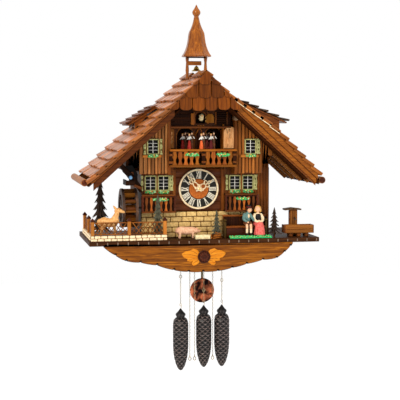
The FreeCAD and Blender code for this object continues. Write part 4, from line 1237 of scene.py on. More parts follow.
def garden():
    side_x, front_y = -315, -291  # middle lines of the two walls
    wall = Build()
    for start, end, along_y in ((-321, -104, False), (-285, -47, True)):
        for row in range(2):
            spot = start - (row % 2) * 10
            while spot < end - 1:
                length = DICE.uniform(16, 22)
                a, b = max(spot, start), min(spot + length, end)
                if b - a > 3:
                    z = GROUND + 4 + 8 * row
                    wall.paint("brick")
                    if along_y:
                        wall.bar((11.6, b - a - 1.0, 7.4), (side_x, (a + b) / 2, z), 1.3)
                    else:
                        wall.bar((b - a - 1.0, 11.6, 7.4), ((a + b) / 2, front_y, z), 1.3)
                spot += length
    wall.paint("brick_joint")
    wall.bar((216, 10, 15.4), (-212.5, front_y, GROUND + 7.8), 0.1)
    wall.bar((10, 248, 15.4), (side_x, -171, GROUND + 7.8), 0.1)
    wall.piece("garden_brickwork", slot="masonry", replaces=("garden_wall",))

    fence = Build()
    top = GROUND + 16
    for x, y in ((side_x, front_y), (-212, front_y), (-110, front_y), (side_x, -190), (side_x, -70)):
        fence.paint("post_wood").bar((10, 9, 42), (x, y, top + 21), 1.0, along=2)
        fence.paint("rosette_wood")
        fence.bar((12.5, 12.5, 3), (x, y, top + 41), 0.8)
        fence.lathe([(8.6, 0), (8.2, 0.8), (0.4, 7.4)], (x, y, top + 42.4), Z, 4, spin=0.5)
    fence.paint("fence_wood")
    for start in (-309.5, -206.5):
        for z in (3.5, 36):
            fence.bar((91, 3.4, 3), (start + 45.5, front_y, top + z), 0.6)
        for i in range(7):
            for lean in (-1, 1):
                foot = Vector((start + 2 + 13 * i, front_y + lean * 1.1, top + 4))
                reach = Vector((lean * 24, 0, 32))
                if lean < 0:
                    foot.x += 13
                end = foot + reach
                if end.x > start + 91:
                    reach *= (start + 91 - foot.x) / reach.x
                if end.x < start:
                    reach *= (start - foot.x) / reach.x
                along = reach.normalized()
                place = frame_at(foot + reach / 2, along, Y, along.cross(Y))
                fence.bar((reach.length, 2.0, 2.2), (0, 0, 0), 0.4, place, along=0)
    for near, length in ((-284.5, 89), (-184.5, 109)):
        for z in (6, 30):
            fence.bar((2.6, length, 3), (side_x, near + length / 2, top + z), 0.6, along=1)
        for i in range(int(length / 9)):
            fence.bar((2.4, 4, 34), (-315.4, near + 6 + 9 * i, top + 18), 0.5, along=2)
    fence.piece("trellis_fence", replaces=("garden_fence",))


def pine(build, x, y, low, height, radius, material, tiers):
    """Stacked skirts of carved boughs, each with a ragged drooping hem."""
    build.paint("fence_wood").tube([(x, y, low), (x, y, low + height * 0.4)], radius * 0.14, 8)
    build.paint(material)
    for tier in range(tiers):
        share = tier / tiers
        level = low + height * (0.1 + 0.82 * share)
        reach = radius * (1 - share) ** 0.85 + radius * 0.13
        rise = height * 0.235
        spikes = 11
        points = []
        start = DICE.random() * 6
        for i in range(spikes * 2):
            angle = start + math.pi * i / spikes
            out = reach * (1.0 if i % 2 == 0 else 0.56) * DICE.uniform(0.9, 1.06)
            drop = -height * 0.012 if i % 2 == 0 else height * 0.03
            points.append((x + out * math.cos(angle), y + out * math.sin(angle) * 0.86, level + drop))
        for i in range(spikes * 2):
            angle = start + math.pi * i / spikes
            out = reach * (0.46 if i % 2 == 0 else 0.3)
            points.append((x + out * math.cos(angle), y + out * math.sin(angle), level + rise * 0.38))
        for i in range(spikes * 2):
            angle = start + math.pi * i / spikes
            points.append((x + reach * 0.1 * math.cos(angle), y + reach * 0.1 * math.sin(angle),
                           level + rise))
        build.add(points, skin(3, spikes * 2), None, 2)
    build.lathe([(radius * 0.2, 0), (0.6, height * 0.12)], (x, y, low + height * 0.88), Z, 10)


def pines():
    build = Build()
    pine(build, -281, -180, GROUND, 178, 29, "pine_dark", 7)
    pine(build, -127, -270, GROUND, 130, 20.5, "pine_green", 7)
    pine(build, 47, -258, GROUND, 80, 17, "pine_green", 6)
    pine(build, 218, -262, GROUND, 84, 20.5, "pine_dark", 6)
    build.piece("carved_pines", slot="pine_green", replaces=("pine_trees",))


def limb(build, path, radii, sides=12):
    """A smooth limb through a few points, closed with round ends."""
    points = [Vector(p) for p in path]
    fine, widths = [], []
    last = len(points) - 1
    for i in range(last):
        a, b = points[i], points[i + 1]
        before, after = points[max(i - 1, 0)], points[min(i + 2, last)]
        for step in range(5):
            t = step / 5
            fine.append(0.5 * ((2 * a) + (b - before) * t + (2 * before - 5 * a + 4 * b - after) * t * t
                               + (3 * a - before - 3 * b + after) * t ** 3))
            widths.append(radii[i] + (radii[i + 1] - radii[i]) * t)
    fine.append(points[-1])
    widths.append(radii[-1])
    build.tube(fine, widths, sides)
    for point, radius in ((fine[0], widths[0]), (fine[-1], widths[-1])):
        build.ball((radius, radius, radius), point, sides)


def animals():
    build = Build().paint("deer")
    y, low = -276, GROUND
    limb(build, [(-289, y, low + 52), (-280, y, low + 54), (-266, y, low + 51), (-254, y, low + 53),
                 (-248, y, low + 57)], [10.5, 13.6, 12.6, 13.4, 10], 16)
    limb(build, [(-253, y, low + 57), (-247, y, low + 70), (-243, y, low + 82)], [11, 8, 5.8], 14)
    limb(build, [(-246, y, low + 84), (-240, y, low + 86), (-231, y, low + 82.5), (-225, y, low + 80.5)],
         [6, 6.8, 4.6, 3.2], 14)
    # An ear, a foreleg and a hind leg on each side.
    pairs = ((((-246, 3, 88), (-250, 4.6, 93), (-254, 5, 98)), [2.6, 3.4, 1.0]),
             (((-253, 4, 48), (-251, 4, 30), (-251, 4, 15), (-250, 4, 2)), [5.6, 3.4, 2.6, 2.7]),
             (((-285, 4, 48), (-287, 4, 31), (-291, 4, 18), (-288, 4, 2)), [7, 4.2, 2.6, 2.7]))
    for side in (-1, 1):
        for path, radii in pairs:
            limb(build, [(x, y + side * apart, low + z) for x, apart, z in path], radii, 10)
    limb(build, [(-294, y, low + 60), (-298, y, low + 55), (-297, y, low + 49)], [2.8, 3.0, 1.2], 8)
    build.paint("eye")
    for side in (-1, 1):
        build.ball((1.2, 1.0, 1.2), (-237.5, y + side * 5.6, low + 87.5), 8)
    build.ball((1.5, 1.7, 1.3), (-222.6, y, low + 81), 8)
    build.paint("pig")
    y = -262
    back = ((-66, 23), (-58, 23.5), (-40, 22.5), (-26, 23), (-16, 22.5))
    limb(build, [(x, y, low + z) for x, z in back], [9.5, 11.6, 11.4, 10.8, 8], 18)
    limb(build, [(-17, y, low + 23), (-10, y, low + 22), (-4.8, y, low + 21)], [7.4, 5.8, 3.9], 14)
    for side in (-1, 1):
        limb(build, [(-62, y + side * 6, low + 16), (-63, y + side * 6, low + 3)], [4.4, 2.6], 10)
        limb(build, [(-25, y + side * 6, low + 16), (-24, y + side * 6, low + 3)], [4.4, 2.6], 10)
        build.ball((3.6, 1.2, 3), (-13, y + side * 5.4, low + 28), 10,
                   turn("Y", -35) @ turn("X", side * 25))
    build.tube([(-67 - 2.4 * t + 1.2 * math.sin(9 * t), y, low + 29 + 2.6 * math.cos(9 * t)) for t in
                (0, 0.15, 0.3, 0.45, 0.6, 0.75)], 0.8, 8)
    build.paint("eye")
    for side in (-1, 1):
        build.ball((0.8, 0.8, 0.8), (-9, y + side * 4.6, low + 26.4), 8)
    build.piece("deer_and_pig", slot="figure_paint", replaces=("farm_animals",))


def yard():
    build = Build()
    low = GROUND
    build.paint("trough_cream")
    for y in (-291, -277):
        build.bar((42, 2.4, 11.6), (0, y, low + 6.2), 0.9)
    for x in (-20, 20):
        build.bar((2.4, 14, 11.6), (x, -284, low + 6.2), 0.9)
    build.bar((39, 13, 3), (0, -284, low + 2), 0.3)
    for y, z in ((-290, 3.7), (-282.3, 3.7), (-286.1, 10.3)):
        build.paint("log").tube([(25, y, low + z), (53, y, low + z)], 3.6, 14)
        build.paint("log_end")
        for x, way in ((25, -X), (53, X)):
            build.lathe([(3.5, 0), (2.9, 0.5), (1.6, 0.5), (1.5, 0.3), (0.2, 0.3)], (x, y, low + z), way,
                        14)
    build.paint("golden")
    for i in range(5):
        build.bar((20, 2.2, 3), (38 + 2 * i, -292.6 + 1.6 * i, low + 3.6 + 3.1 * i), 0.4,
                  turn("Y", DICE.uniform(-24, 24)))
    build.paint("grass").bar((124, 8, 4), (140, -294.5, low + 2.2), 1.2)
    for i in range(150):
        build.paint("leafage" if i % 3 else "grass")
        spot = (79 + 122 * DICE.random(), -295 + DICE.uniform(-2.2, 3.2), low + DICE.uniform(3.4, 7.6))
        build.ball((DICE.uniform(1.8, 3.2), 1.3, DICE.uniform(1.6, 2.8)), spot, 8,
                   turn("Y", DICE.uniform(-50, 50)))
    for i in range(26):
        build.paint(("blossom_yellow", "leaf_light", "blossom_red")[i % 3])
        build.ball((1.2, 0.9, 1.2), (81 + 4.6 * i, -297.6, low + DICE.uniform(3.4, 7.6)), 8)
    build.piece("yard_pieces", replaces=("yard_items",))


def couple():
    girl_x, bench_x = 168, 132
    low, seat = GROUND, GROUND + 34
    bench = Build().paint("barge")
    bench.bar((126, 4, 62), (bench_x, -238.5, low + 31.5), 1.0)
    bench.paint("panel")
    for i in range(5):
        bench.bar((22.5, 2.4, 50), (83.5 + 24 * i, -241.6, low + 34), 0.9, along=2)
    bench.paint("rosette_wood").bar((114, 3, 25), (bench_x, -264.2, low + 15), 0.8)
    bench.paint("centre_wood")
    bench.bar((118, 25, 4.6), (bench_x, -253.4, seat - 3.4), 1.0)
    bench.bar((128, 6.5, 4.4), (bench_x, -238.5, low + 62.4), 1.4)
    bench.paint("olive_wood")
    for x in (71, 193):
        outline = [(-266, low + 0.4), (-242, low + 0.4), (-242, low + 53), (-256, low + 51),
                   (-264, low + 45), (-266, low + 38)]
        place = Matrix(((0, 0, 1, x - 3), (1, 0, 0, 0), (0, 1, 0, 0), (0, 0, 0, 1)))
        bench.slab(outline, 6, place, 1.0, along=1)
        bench.bar((8, 25, 4.4), (x, -254, low + 50.4), 1.6, along=1)
    bench.paint("dark_board")
    bench.slab([(150, low + 1), (206, low + 1), (206, low + 48), (172, low + 92), (150, low + 70)], 4,
               front(-232), 1.0, along=1)
    bench.piece("settle", replaces=("bench",))

    boy = Build().paint("jacket")
    limb(boy,
         [(136, -262, seat + 10), (136, -262, seat + 19), (137, -262, seat + 30), (139, -263, seat + 37)],
         [9, 10.8, 10.4, 5], 18)
    limb(boy, [(128, -264, seat + 32), (124.5, -270, seat + 20), (133, -279, seat + 12)], [4.8, 4.2, 3.3],
         12)
    limb(boy, [(144, -266, seat + 32), (149, -272, seat + 24), (152, -277, seat + 17)], [4.6, 4.0, 3.2], 12)
    boy.paint("cream").ball((3.4, 2.4, 6), (139, -271, seat + 28), 12)
    boy.paint("skin")
    limb(boy, [(140, -264, seat + 37), (141, -265, seat + 42)], [3.6, 3.4], 10)
    boy.ball((7.2, 7.4, 8.4), (142.5, -265.5, seat + 46.5), 18)
    boy.ball((1.4, 1.5, 1.4), (146.6, -271.6, seat + 46), 8)
    boy.ball((3.0, 3.0, 2.8), (134.5, -281, seat + 11), 10)
    boy.paint("hair_brown").ball((7.8, 7.6, 7.4), (140.4, -263, seat + 48.5), 18)
    boy.paint("black")
    boy.lathe([(10.8, 0), (11, 1.2), (7.6, 2.2), (6.9, 6.6), (5.2, 8.8), (0.3, 9)],
              (141, -264.3, seat + 51.5), Z, 24)
    boy.paint("red_dress").lathe([(7.8, 0), (7.8, 1.4)], (141, -264.3, seat + 53.6), Z, 24)
    boy.paint("shorts")
    for x in (130.2, 142):
        limb(boy, [(x, -264, seat + 7.4), (x, -274, seat + 7.4), (x, -283, seat + 5.8)], [6.0, 6.0, 5.0],
             14)
    for x in (130.2, 142):
        boy.paint("skin")
        limb(boy, [(x, -284, seat + 5), (x, -286.4, seat - 1), (x, -286.6, seat - 8)], [4.3, 3.6, 3.4], 12)
        boy.paint("cream")
        limb(boy, [(x, -286.6, seat - 9), (x, -286.4, seat - 18)], [3.7, 3.0], 12)
        boy.paint("black")
        limb(boy, [(x, -285.6, seat - 21.2), (x, -289.2, seat - 22.4)], [3.4, 2.9], 12)
    boy.paint("eye")
    for x in (140.6, 145.2):
        boy.ball((0.7, 0.6, 0.9), (x, -272.2, seat + 48), 8)
    boy.piece("boy", "boy", "figure_paint", replaces=("boy_figure",))

    girl = Build().paint("black")
    limb(girl, [(girl_x, -264, seat + 6), (girl_x, -264, seat + 16), (girl_x, -264.4, seat + 27)],
         [8, 8.6, 9.4], 18)
    girl.paint("cream")
    limb(girl, [(girl_x, -263, seat + 30), (girl_x, -263, seat + 35)], [8.4, 4.6], 14)
    for side in (-1, 1):
        arm = ((9, -264, 31), (13, -268, 22), (10, -277, 15), (3, -281, 12))
        limb(girl, [(girl_x + side * x, y, seat + z) for x, y, z in arm], [4.6, 4.8, 3.9, 2.9], 12)
    girl.ball((9.5, 6, 5), (girl_x, -275, seat + 12), 14)
    girl.paint("skin")
    limb(girl, [(girl_x, -264, seat + 36), (167.6, -264.6, seat + 42)], [3.6, 3.4], 10)
    girl.ball((8.2, 8.2, 9.2), (167, -266, seat + 48), 18)
    girl.ball((1.4, 1.5, 1.4), (161.4, -272.2, seat + 47), 8)
    girl.ball((2.9, 2.7, 2.4), (166, -282, seat + 12), 10)
    girl.paint("hair_blond").ball((9, 8.8, 8.8), (168.4, -263.6, seat + 50), 20)
    for side in (-1, 1):
        girl.ball((3.2, 4.2, 6.2), (girl_x + side * 7.4, -264, seat + 44), 12)
    girl.paint("coral")
    hem, folds = GROUND + 8.4, 40
    points = []
    rings = ((14.5, 0), (16, 1.2), (14.6, 14), (12.6, 26), (9.4, 34), (5, 37))
    for radius, height in rings:
        for i in range(folds):
            angle = 2 * math.pi * i / folds
            ripple = 1 + 0.055 * math.cos(10 * angle) * (1 - height / 40)
            points.append((169 + radius * ripple * math.cos(angle),
                           -281 + radius * 0.82 * ripple * math.sin(angle), hem + height))
    girl.add(points, skin(len(rings), folds), None, 2)
    for x in (161, 175):
        limb(girl, [(x, -262, seat + 5), (x, -272, seat + 5.4)], [7, 7.4], 12)
    girl.paint("black")
    for x in (164.4, 173.6):
        limb(girl, [(x, -286, GROUND + 9.4), (x, -290, GROUND + 8.8)], [2.6, 2.4], 10)
    girl.paint("eye")
    for x in (163.0, 168.4):
        girl.ball((0.7, 0.6, 0.9), (x, -273.4, seat + 49), 8)
    girl.piece("girl", slot="figure_paint", replaces=("girl_figure",))


def fountain():
    tub_x, tub_y = 290, -259
    build = Build()
    low = GROUND
    build.paint("barge").bar((24, 14, 78), (282, -235, low + 39.5), 1.6, along=2)
    build.paint("tub_wood")
    for x in (275, 282, 289):
        build.bar((5.6, 1.6, 66), (x, -242.4, low + 41), 0.6, along=2)
    build.paint("roof_grey")
    for side in (-1, 1):
        build.bar((27, 30, 4.5), (279 + side * 11.5, -235, low + 78.6), 0.9, turn("Y", side * 7), along=0)
    build.paint("spout_iron")
    build.tube([(284, -242, low + 52), (284, -248, low + 52), (284, -252, low + 50), (284, -253, low + 46)],
               2.0, 12)
    build.paint("tub_wood")
    for y in (-273.8, -244.2):
        for level in (16, 28):
            build.bar((88, 4.2, 11.6), (tub_x, y, low + level), 0.9)
    for x in (248, 332):
        build.paint("barge").bar((4.4, 34, 24), (x, tub_y, low + 22), 0.9, along=1)
    build.paint("tub_wood").bar((84, 26, 4), (tub_x, tub_y, low + 12.4), 0.4)
    build.paint("water").bar((80, 24.4, 9), (tub_x, tub_y, low + 19), 0.2)
    build.paint("barge")
    for x in (266, tub_x, 314):
        for y in (-268, -250):
            build.bar((11, 8, 10), (x, y, low + 5.2), 1.0, along=2)
    for x in (266, 314):
        build.bar((7, 24, 4), (x, tub_y, low + 7), 0.6)
    build.piece("wooden_fountain", replaces=("fountain",))


# ---------------------------------------------------------------- mill

def mill():
    wheel_x, flume_x, flume_y = -202, -203, -228
    centre = middle("mill_wheel")
    centre.x = wheel_x
    build = Build()
    radius = 57.0
    for x0, x1 in ((-225, -218), (-187, -180)):
        build.paint("wheel_wood")
        for part in range(8):
            points = []
            steps = 7
            for i in range(steps):
                angle = 2 * math.pi * (part + 0.995 * i / (steps - 1)) / 8
                for reach, x in ((radius, x0), (radius, x1), (radius - 18, x1), (radius - 18, x0)):
                    points.append((x, centre.y + reach * math.cos(angle),
                                   centre.z + reach * math.sin(angle)))
            build.add(points, skin(steps, 4), None, 1)
    for i in range(12):
        spin = turn("X", 30 * i + 7)
        at = centre + (spin @ Vector((0, 0, radius - 8)))
        build.paint("paddle_wood").bar((36, 3, 15), (wheel_x, at.y, at.z), 0.6, spin, along=0)
        build.paint("barge")
        at = centre + (spin @ Vector((0, 5, radius - 15)))
        build.bar((36, 11, 2.4), (wheel_x, at.y, at.z), 0.5, spin, along=0)
    build.paint("wheel_wood")
    for x in (-221.5, -182.5):
        for i in range(3):
            build.bar((4, 7, 2 * radius - 26), (x, centre.y, centre.z), 0.8, turn("X", 60 * i + 15),
                      along=2)
    build.paint("golden").tube([(-224, centre.y, centre.z), (-180, centre.y, centre.z)], 9, 20)
    build.paint("dark_board").tube([(-225.8, centre.y, centre.z), (-150.4, centre.y, centre.z)], 2.5, 14)
    build.piece("water_wheel", "mill", replaces=("mill_wheel",))

    flume = Build().paint("dark_board")
    flume.bar((26, 62, 4), (flume_x, flume_y, -174), 0.6, along=1)
    for x in (-215, -191):
        flume.bar((3, 62, 15.6), (x, flume_y, -168), 0.7, along=1)
    flume.bar((27, 3, 13), (flume_x, -258.6, -168), 0.7, along=0)
    flume.paint("barge")
    for y in (-236, -206):
        flume.bar((8, 10, 38), (-196, y, -157), 1.0, along=2)
    flume.bar((26, 8, 8), (-182, -256, -180), 1.4, turn("Y", 24))
    flume.paint("water")
    flume.bar((21, 56, 4), (flume_x, flume_y, -169.8), 0.3, along=1)
    flume.ball((5.5, 5, 5.5), (flume_x, -259, -153), 16)
    upper = ((-246, -108), (-238, -118), (-229, -127), (-222, -139), (-213, -148), (-206, -158),
             (-196, -168), (-190, -178), (-182, -186), (-175, -197), (-168, -196), (-170, -178),
             (-180, -164), (-190, -150), (-200, -138), (-211, -128), (-222, -116), (-234, -104))
    flume.paint("dark_board").slab(upper, 9, front(-240), 2.4, along=0)
    # A near-black sheet above the bracket is painted shadow under the roof.
    flume.paint("socket")
    flume.slab([(-214, -122), (-196, -118), (-180, -142), (-180, -164), (-190, -158), (-204, -142)], 4,
               front(-236), 0.5)
    flume.piece("flume", replaces=("mill_flume",))


# ---------------------------------------------------------------- dial and hands

NUMERALS = ("XII", "I", "II", "III", "IIII", "V", "VI", "VII", "VIII", "IX", "X", "XI")
STROKES = {"I": (((0, 0), (0, 1)),), "V": (((-0.34, 1), (0, 0)), ((0, 0), (0.34, 1))),
           "X": (((-0.32, 0), (0.32, 1)), ((-0.32, 1), (0.32, 0)))}
LETTER_WIDE = {"I": 3.9, "V": 6.8, "X": 7.0}


def dial():
    build = Build()
    cx, cz = DIAL.x, DIAL.z
    rim = 58.5
    build.paint("cream")
    build.lathe([(rim, 0), (rim, 5.4), (rim - 1, 6.6), (rim - 3.2, 6.6), (rim - 4.2, 5.0), (52.4, 4.4)],
                (cx, WALL + 0.6, cz), -Y, 72)
    build.paint("dial_black")
    build.lathe([(53.4, 0), (53.4, 4.9), (28, 4.9), (3.4, 4.9)], (cx, WALL + 0.6, cz), -Y, 72)
    build.paint("centre_wood")
    build.lathe([(28.6, 4), (28.6, 5.2), (27.6, 6.4), (25.8, 5.6), (24.8, 5.6), (4.2, 5.6), (4.1, 4)],
                (cx, WALL + 0.6, cz), -Y, 60)
    build.paint("numeral")
    face = WALL - 4.1
    for hour, text in enumerate(NUMERALS):
        spin = math.radians(-30 * hour)
        total = sum(LETTER_WIDE[c] for c in text)
        spot = -total / 2
        inner, tall = 31, 20
        for letter in text:
            middle_at = spot + LETTER_WIDE[letter] / 2
            size = LETTER_WIDE[letter]
            for number, (a, b) in enumerate(STROKES[letter]):
                points = []
                for sx, sy in (a, b):
                    points.append((middle_at + sx * size * 1.5, inner + sy * tall))
                width = 2.5 if number == 0 or letter == "I" else 1.4
                heading = Vector((points[1][0] - points[0][0], points[1][1] - points[0][1])).normalized()
                outline = []
                for px, py, sign in ((*points[0], 1), (*points[1], 1), (*points[1], -1), (*points[0], -1)):
                    sx, sz = px - heading.y * width / 2 * sign, py + heading.x * width / 2 * sign
                    outline.append((cx + sx * math.cos(spin) - sz * math.sin(spin),
                                    cz + sx * math.sin(spin) + sz * math.cos(spin)))
                build.slab(outline, 1.0, front(face), 0.25)
            spot += LETTER_WIDE[letter]
        for level in (inner, inner + tall):
            half = total / 2 + 0.6
            outline = []
            for sx, sz in ((-half, level - 0.5), (half, level - 0.5), (half, level + 0.5),
                           (-half, level + 0.5)):
                outline.append((cx + sx * math.cos(spin) - sz * math.sin(spin),
                                cz + sx * math.sin(spin) + sz * math.cos(spin)))
            build.slab(outline, 1.0, front(face), 0.2)
    build.piece("dial_face", slot="dial_face", replaces=("dial",))


def hand(length, hub, spread, depth, thick, angle, name, body, replaced, inner_parts):
    """A pierced carved hand: a stem, two pairs of curls and a leaf tip round open loops."""
    build = Build().paint("bone")
    place = Matrix.Translation(Vector((DIAL.x, depth, DIAL.z))) @ turn("Y", angle) @ FRONT

    def stroke(path, widths):
        build.slab(ribbon(path, [w * 1.35 for w in widths]), thick, place, 0.35, along=1, tone=0.5)

    stroke([(0, -hub - 5), (0, -hub), (0, length * 0.18)], [3.0, 2.6, 3.0])
    for side in (-1, 1):
        loop = [(0.6, 0.16), (0.9, 0.24), (1.0, 0.32), (0.75, 0.4), (0.3, 0.46), (0, 0.5)]
        stroke([(side * spread * x, length * y) for x, y in loop], [2.2, 2.4, 2.2, 2.0, 2.0, 2.4])
        curl = [(0.45, 0.44), (0.95, 0.47), (1.35, 0.54), (1.4, 0.62), (1.05, 0.66), (0.8, 0.61)]
        stroke([(side * spread * x, length * y) for x, y in curl], [2.6, 2.4, 2.2, 2.0, 1.8, 1.4])
        low = [(0.3, 0.12), (0.9, 0.1), (1.3, 0.16), (1.2, 0.24)]
        stroke([(side * spread * x, length * y) for x, y in low], [2.6, 2.4, 2.0, 1.2])
        high = [(0, 0.62), (0.5, 0.7), (0.42, 0.8), (0, 0.88)]
        stroke([(side * spread * x, length * y) for x, y in high], [2.0, 2.0, 1.8, 1.4])
    stroke([(0, length * 0.46), (0, length * 0.62), (0, length * 0.66)], [3.2, 2.6, 2.4])
    stroke([(0, length * 0.85), (0, length * 0.93), (0, length)], [3.0, 2.2, 0.4])
    build.lathe([(hub, 0), (hub, thick + 0.6), (hub - 0.8, thick + 1.1),
                 (inner_parts[0][0] + 0.2, thick + 1.1)],
                (DIAL.x, depth, DIAL.z), -Y, 28)
    build.paint("brass")
    for radius, start, end in inner_parts:
        build.tube([(DIAL.x, start, DIAL.z), (DIAL.x, end, DIAL.z)], radius, 20)
    build.piece(name, body, "bone", replaces=(replaced,))


def hands():
    hand(55.5, 4.4, 6.0, -239.0, 1.5, -42, "long_hand", "minute", "minute_hand", ((1.8, -188.5, -240.6),))
    hand(47.5, 5.4, 7.4, -234.5, 1.5, 56.5, "short_hand", "hour", "hour_hand", ((3.0, -207.5, -235.6),))
    cap = Build().paint("brass")
    cap.lathe([(2.6, 0), (2.6, 1.0), (1.4, 1.7), (0.2, 1.8)], (DIAL.x, -241.0, DIAL.z), -Y, 20)
    cap.piece("hand_nut", "minute", "brass")


# ---------------------------------------------------------------- weights, chains and pendulum

def cone(x, y, head, name, body, replaced):
    """A cast spruce cone: rows of overlapping scales below a hooded cap."""
    tip = 186
    outline = ((tip, 3), (183, 6.5), (177, 10.5), (168, 14.6), (149, 19.8), (130, 22.4), (112, 23.4),
               (46, 23.4), (34, 20.8), (29, 16.5), (26, 12), (23.5, 12.5), (21, 13.8), (18, 14.6),
               (15, 14), (11, 10), (5, 5), (0, 2))
    depths, reaches = [p[0] for p in outline[::-1]], [p[1] for p in outline[::-1]]
    steps, sides, pitch, around, relief = 250, 80, 6.8, 8, 2.4
    points, tones = [], []
    for i in range(steps + 1):
        down = tip - 160 * i / steps
        base = float(np.interp(down, depths, reaches))
        row_at = down / pitch
        for k in range(sides):
            best = 0.0
            for row in (math.floor(row_at) - 1, math.floor(row_at), math.floor(row_at) + 1):
                across = (k / sides * around + 0.5 * (row % 2)) % 1.0 - 0.5
                above = row + 1.0 - 2.6 * across * across - row_at
                if 0 <= above < 1.35:
                    best = max(best, 1 - above / 1.35)
            radius = base - relief * (1 - best)
            angle = 2 * math.pi * k / sides
            points.append((x + radius * math.cos(angle), y + radius * math.sin(angle), head - down))
            # The tone is painted light and shade: dark in the recess under each scale, light on its lip.
            tones.append(best ** 2)
    build = Build().paint("iron")
    build.add(points, skin(steps + 1, sides), None, 2, tones)
    cap = [(radius, -depth) for depth, radius in outline if depth <= 29]
    build.lathe([(10, -30)] + cap + [(0.5, 0.4)], (x, y, head - 0.4), Z, 40, tone=0.45)
    for i in range(9):
        angle = 2 * math.pi * i / 9
        build.ball((3.0, 3.0, 4.6), (x + 12.2 * math.cos(angle), y + 12.2 * math.sin(angle), head - 19), 10,
                   tone=0.6)
    build.piece(name, body, "iron", replaces=(replaced,), angle=50)


def chain(build, x, y, low, high):
    """Open links, each turned a quarter from the last."""
    pitch = 5.2
    count = int((high - low) / pitch)
    for i in range(count):
        at = (x, y, low + pitch * (i + 0.5))
        build.ring(1.6, 0.52, at, Y if i % 2 else X, 1.9, 5, 10, None if i % 2 else turn("Z", 90))


def weights_and_chains():
    # Each chain carries one spare ring, at its own height above the weight.
    for name, spare in (("left", 95), ("centre", 46), ("right", 74)):
        weight, pull = middle("weight_" + name), middle("pull_chain_" + name)
        head = extent("weight_" + name)[1].z
        cone(weight.x, weight.y, head, "cone_" + name, "weight_" + name, "weight_" + name)
        build = Build().paint("chain_brass")
        top = extent("chain_" + name)[1].z
        chain(build, weight.x, weight.y, head + 14, top)
        build.ring(2.6, 0.75, (weight.x, weight.y, head + 10.6), Y, 1.35, 8, 18)
        build.tube([(weight.x + 2.4 * math.sin(t), weight.y, head + 4.6 - 3.8 * math.cos(t)) for t in
                    (0, 0.7, 1.4, 2.1, 2.8)], 0.75, 8)
        build.ring(3.9, 0.7, (weight.x, weight.y, head + spare), Y, 1.25, 8, 18)
        build.piece("weight_chain_" + name, "weight_" + name, "brass", replaces=("chain_" + name,))
        build = Build().paint("chain_brass")
        low, high = extent("pull_chain_" + name)
        chain(build, pull.x, pull.y, low.z + 12, high.z)
        build.ring(4.0, 1.05, (pull.x, pull.y, low.z + 5.2), Y, 1.25, 8, 20)
        build.tube([(pull.x, pull.y, low.z + 9.6), (pull.x, pull.y, low.z + 15)], [2.2, 1.3], 8)
        build.piece("pull_ring_" + name, "pull_" + name, "brass", replaces=("pull_chain_" + name,))


def bob():
    build = Build().paint("copper")
    spot = middle("pendulum_bob")
    low = extent("pendulum_bob")[1].y
    build.lathe([(35.7, 0), (36.9, 0.4), (37, 1.0), (35.9, 1.5), (33, 2.0), (24, 3.6), (14, 4.9), (6, 5.7),
                 (0.3, 5.9)],
                (spot.x, low, spot.z), -Y, 80)
    build.piece("bob_disc", "pendulum", "copper", replaces=("pendulum_bob",))
    stem = Build().paint("golden")
    stem.slab([(27.6, -462), (32.4, -462), (33.4, -474), (30, -480), (26.6, -474)], 1.2, front(-131), 0.4,
              along=1)
    stem.piece("bob_mount", "pendulum")


# ---------------------------------------------------------------- dancers and cuckoo

def dancer(build, x, y, low, dress, coat, turn_by):
    """A couple turning together: a full skirt and white blouse beside a dark coat."""
    skew = Vector((math.cos(turn_by), math.sin(turn_by), 0)) * 4.4
    woman, man = Vector((x, y, low)) - skew, Vector((x, y, low)) + skew
    build.paint(dress).lathe([(6.4, 0), (6.6, 1.2), (5.8, 12), (4.2, 24), (2.8, 31)], woman, Z, 20)
    build.paint("black").ball((3.2, 2.8, 3.4), woman + Z * 32, 12)
    build.paint("white").ball((3.8, 3.2, 5.4), woman + Z * 38, 14)
    for side in (-1, 1):
        build.ball((1.9, 1.7, 5.0), woman + Vector((side * 4.2, -1.4, 38 + side)), 12,
                   turn("Y", side * -42))
    build.paint("skin").ball((2.7, 2.7, 3.4), woman + Z * 47, 14)
    build.paint("hair_blond").ball((3.0, 2.9, 3.0), woman + Vector((0, 1.0, 48.6)), 14)
    build.paint("shorts")
    for side in (-1, 1):
        build.lathe([(2.0, 0), (1.7, 8), (2.3, 22), (2.0, 26)], man + X * side * 2.1, Z, 12)
    build.paint(coat).lathe([(3.4, 24), (4.2, 30), (4.8, 41), (3.0, 46)], man, Z, 16)
    build.paint("white")
    for side in (-1, 1):
        build.ball((1.8, 1.7, 5.6), man + Vector((side * 4.8, -1.8, 40)), 12, turn("Y", side * -40))
    build.paint("skin").ball((2.8, 2.8, 3.5), man + Z * 50.5, 14)
    build.paint("hair_brown").ball((3.0, 2.9, 2.9), man + Vector((0, 1.0, 52)), 14)
    build.paint("black")
    build.lathe([(4.0, 0), (4.0, 0.8), (2.6, 1.4), (2.3, 4.2), (0.2, 4.8)], man + Z * 53.6, Z, 16)


def carousel():
    spot = (2, -228)
    build = Build().paint("barge")
    build.lathe([(51.4, 0), (52, 0.6), (52, 4.2), (51.2, 4.9), (0.3, 4.9)], (*spot, -85), Z, 64)
    build.tube([(*spot, -114), (*spot, -84)], 2.98, 20)
    places = ((-43, -228, "red_dress", "umber"), (-29.8, -259.8, "red_dress", "umber"),
              (2, -273, "orange_dress", "umber"), (33.8, -259.8, "maroon", "umber"),
              (33.8, -196.2, "coral", "maroon"), (2, -183, "orange_dress", "black"),
              (-29.8, -196.2, "red_dress", "maroon"))
    for i, (x, y, dress, coat) in enumerate(places):
        dancer(build, x, y, -80, dress, coat, 0.25 + 0.2 * (i % 3))
    build.piece("dancing_couples", "carousel", "figure_paint", replaces=("carousel",))


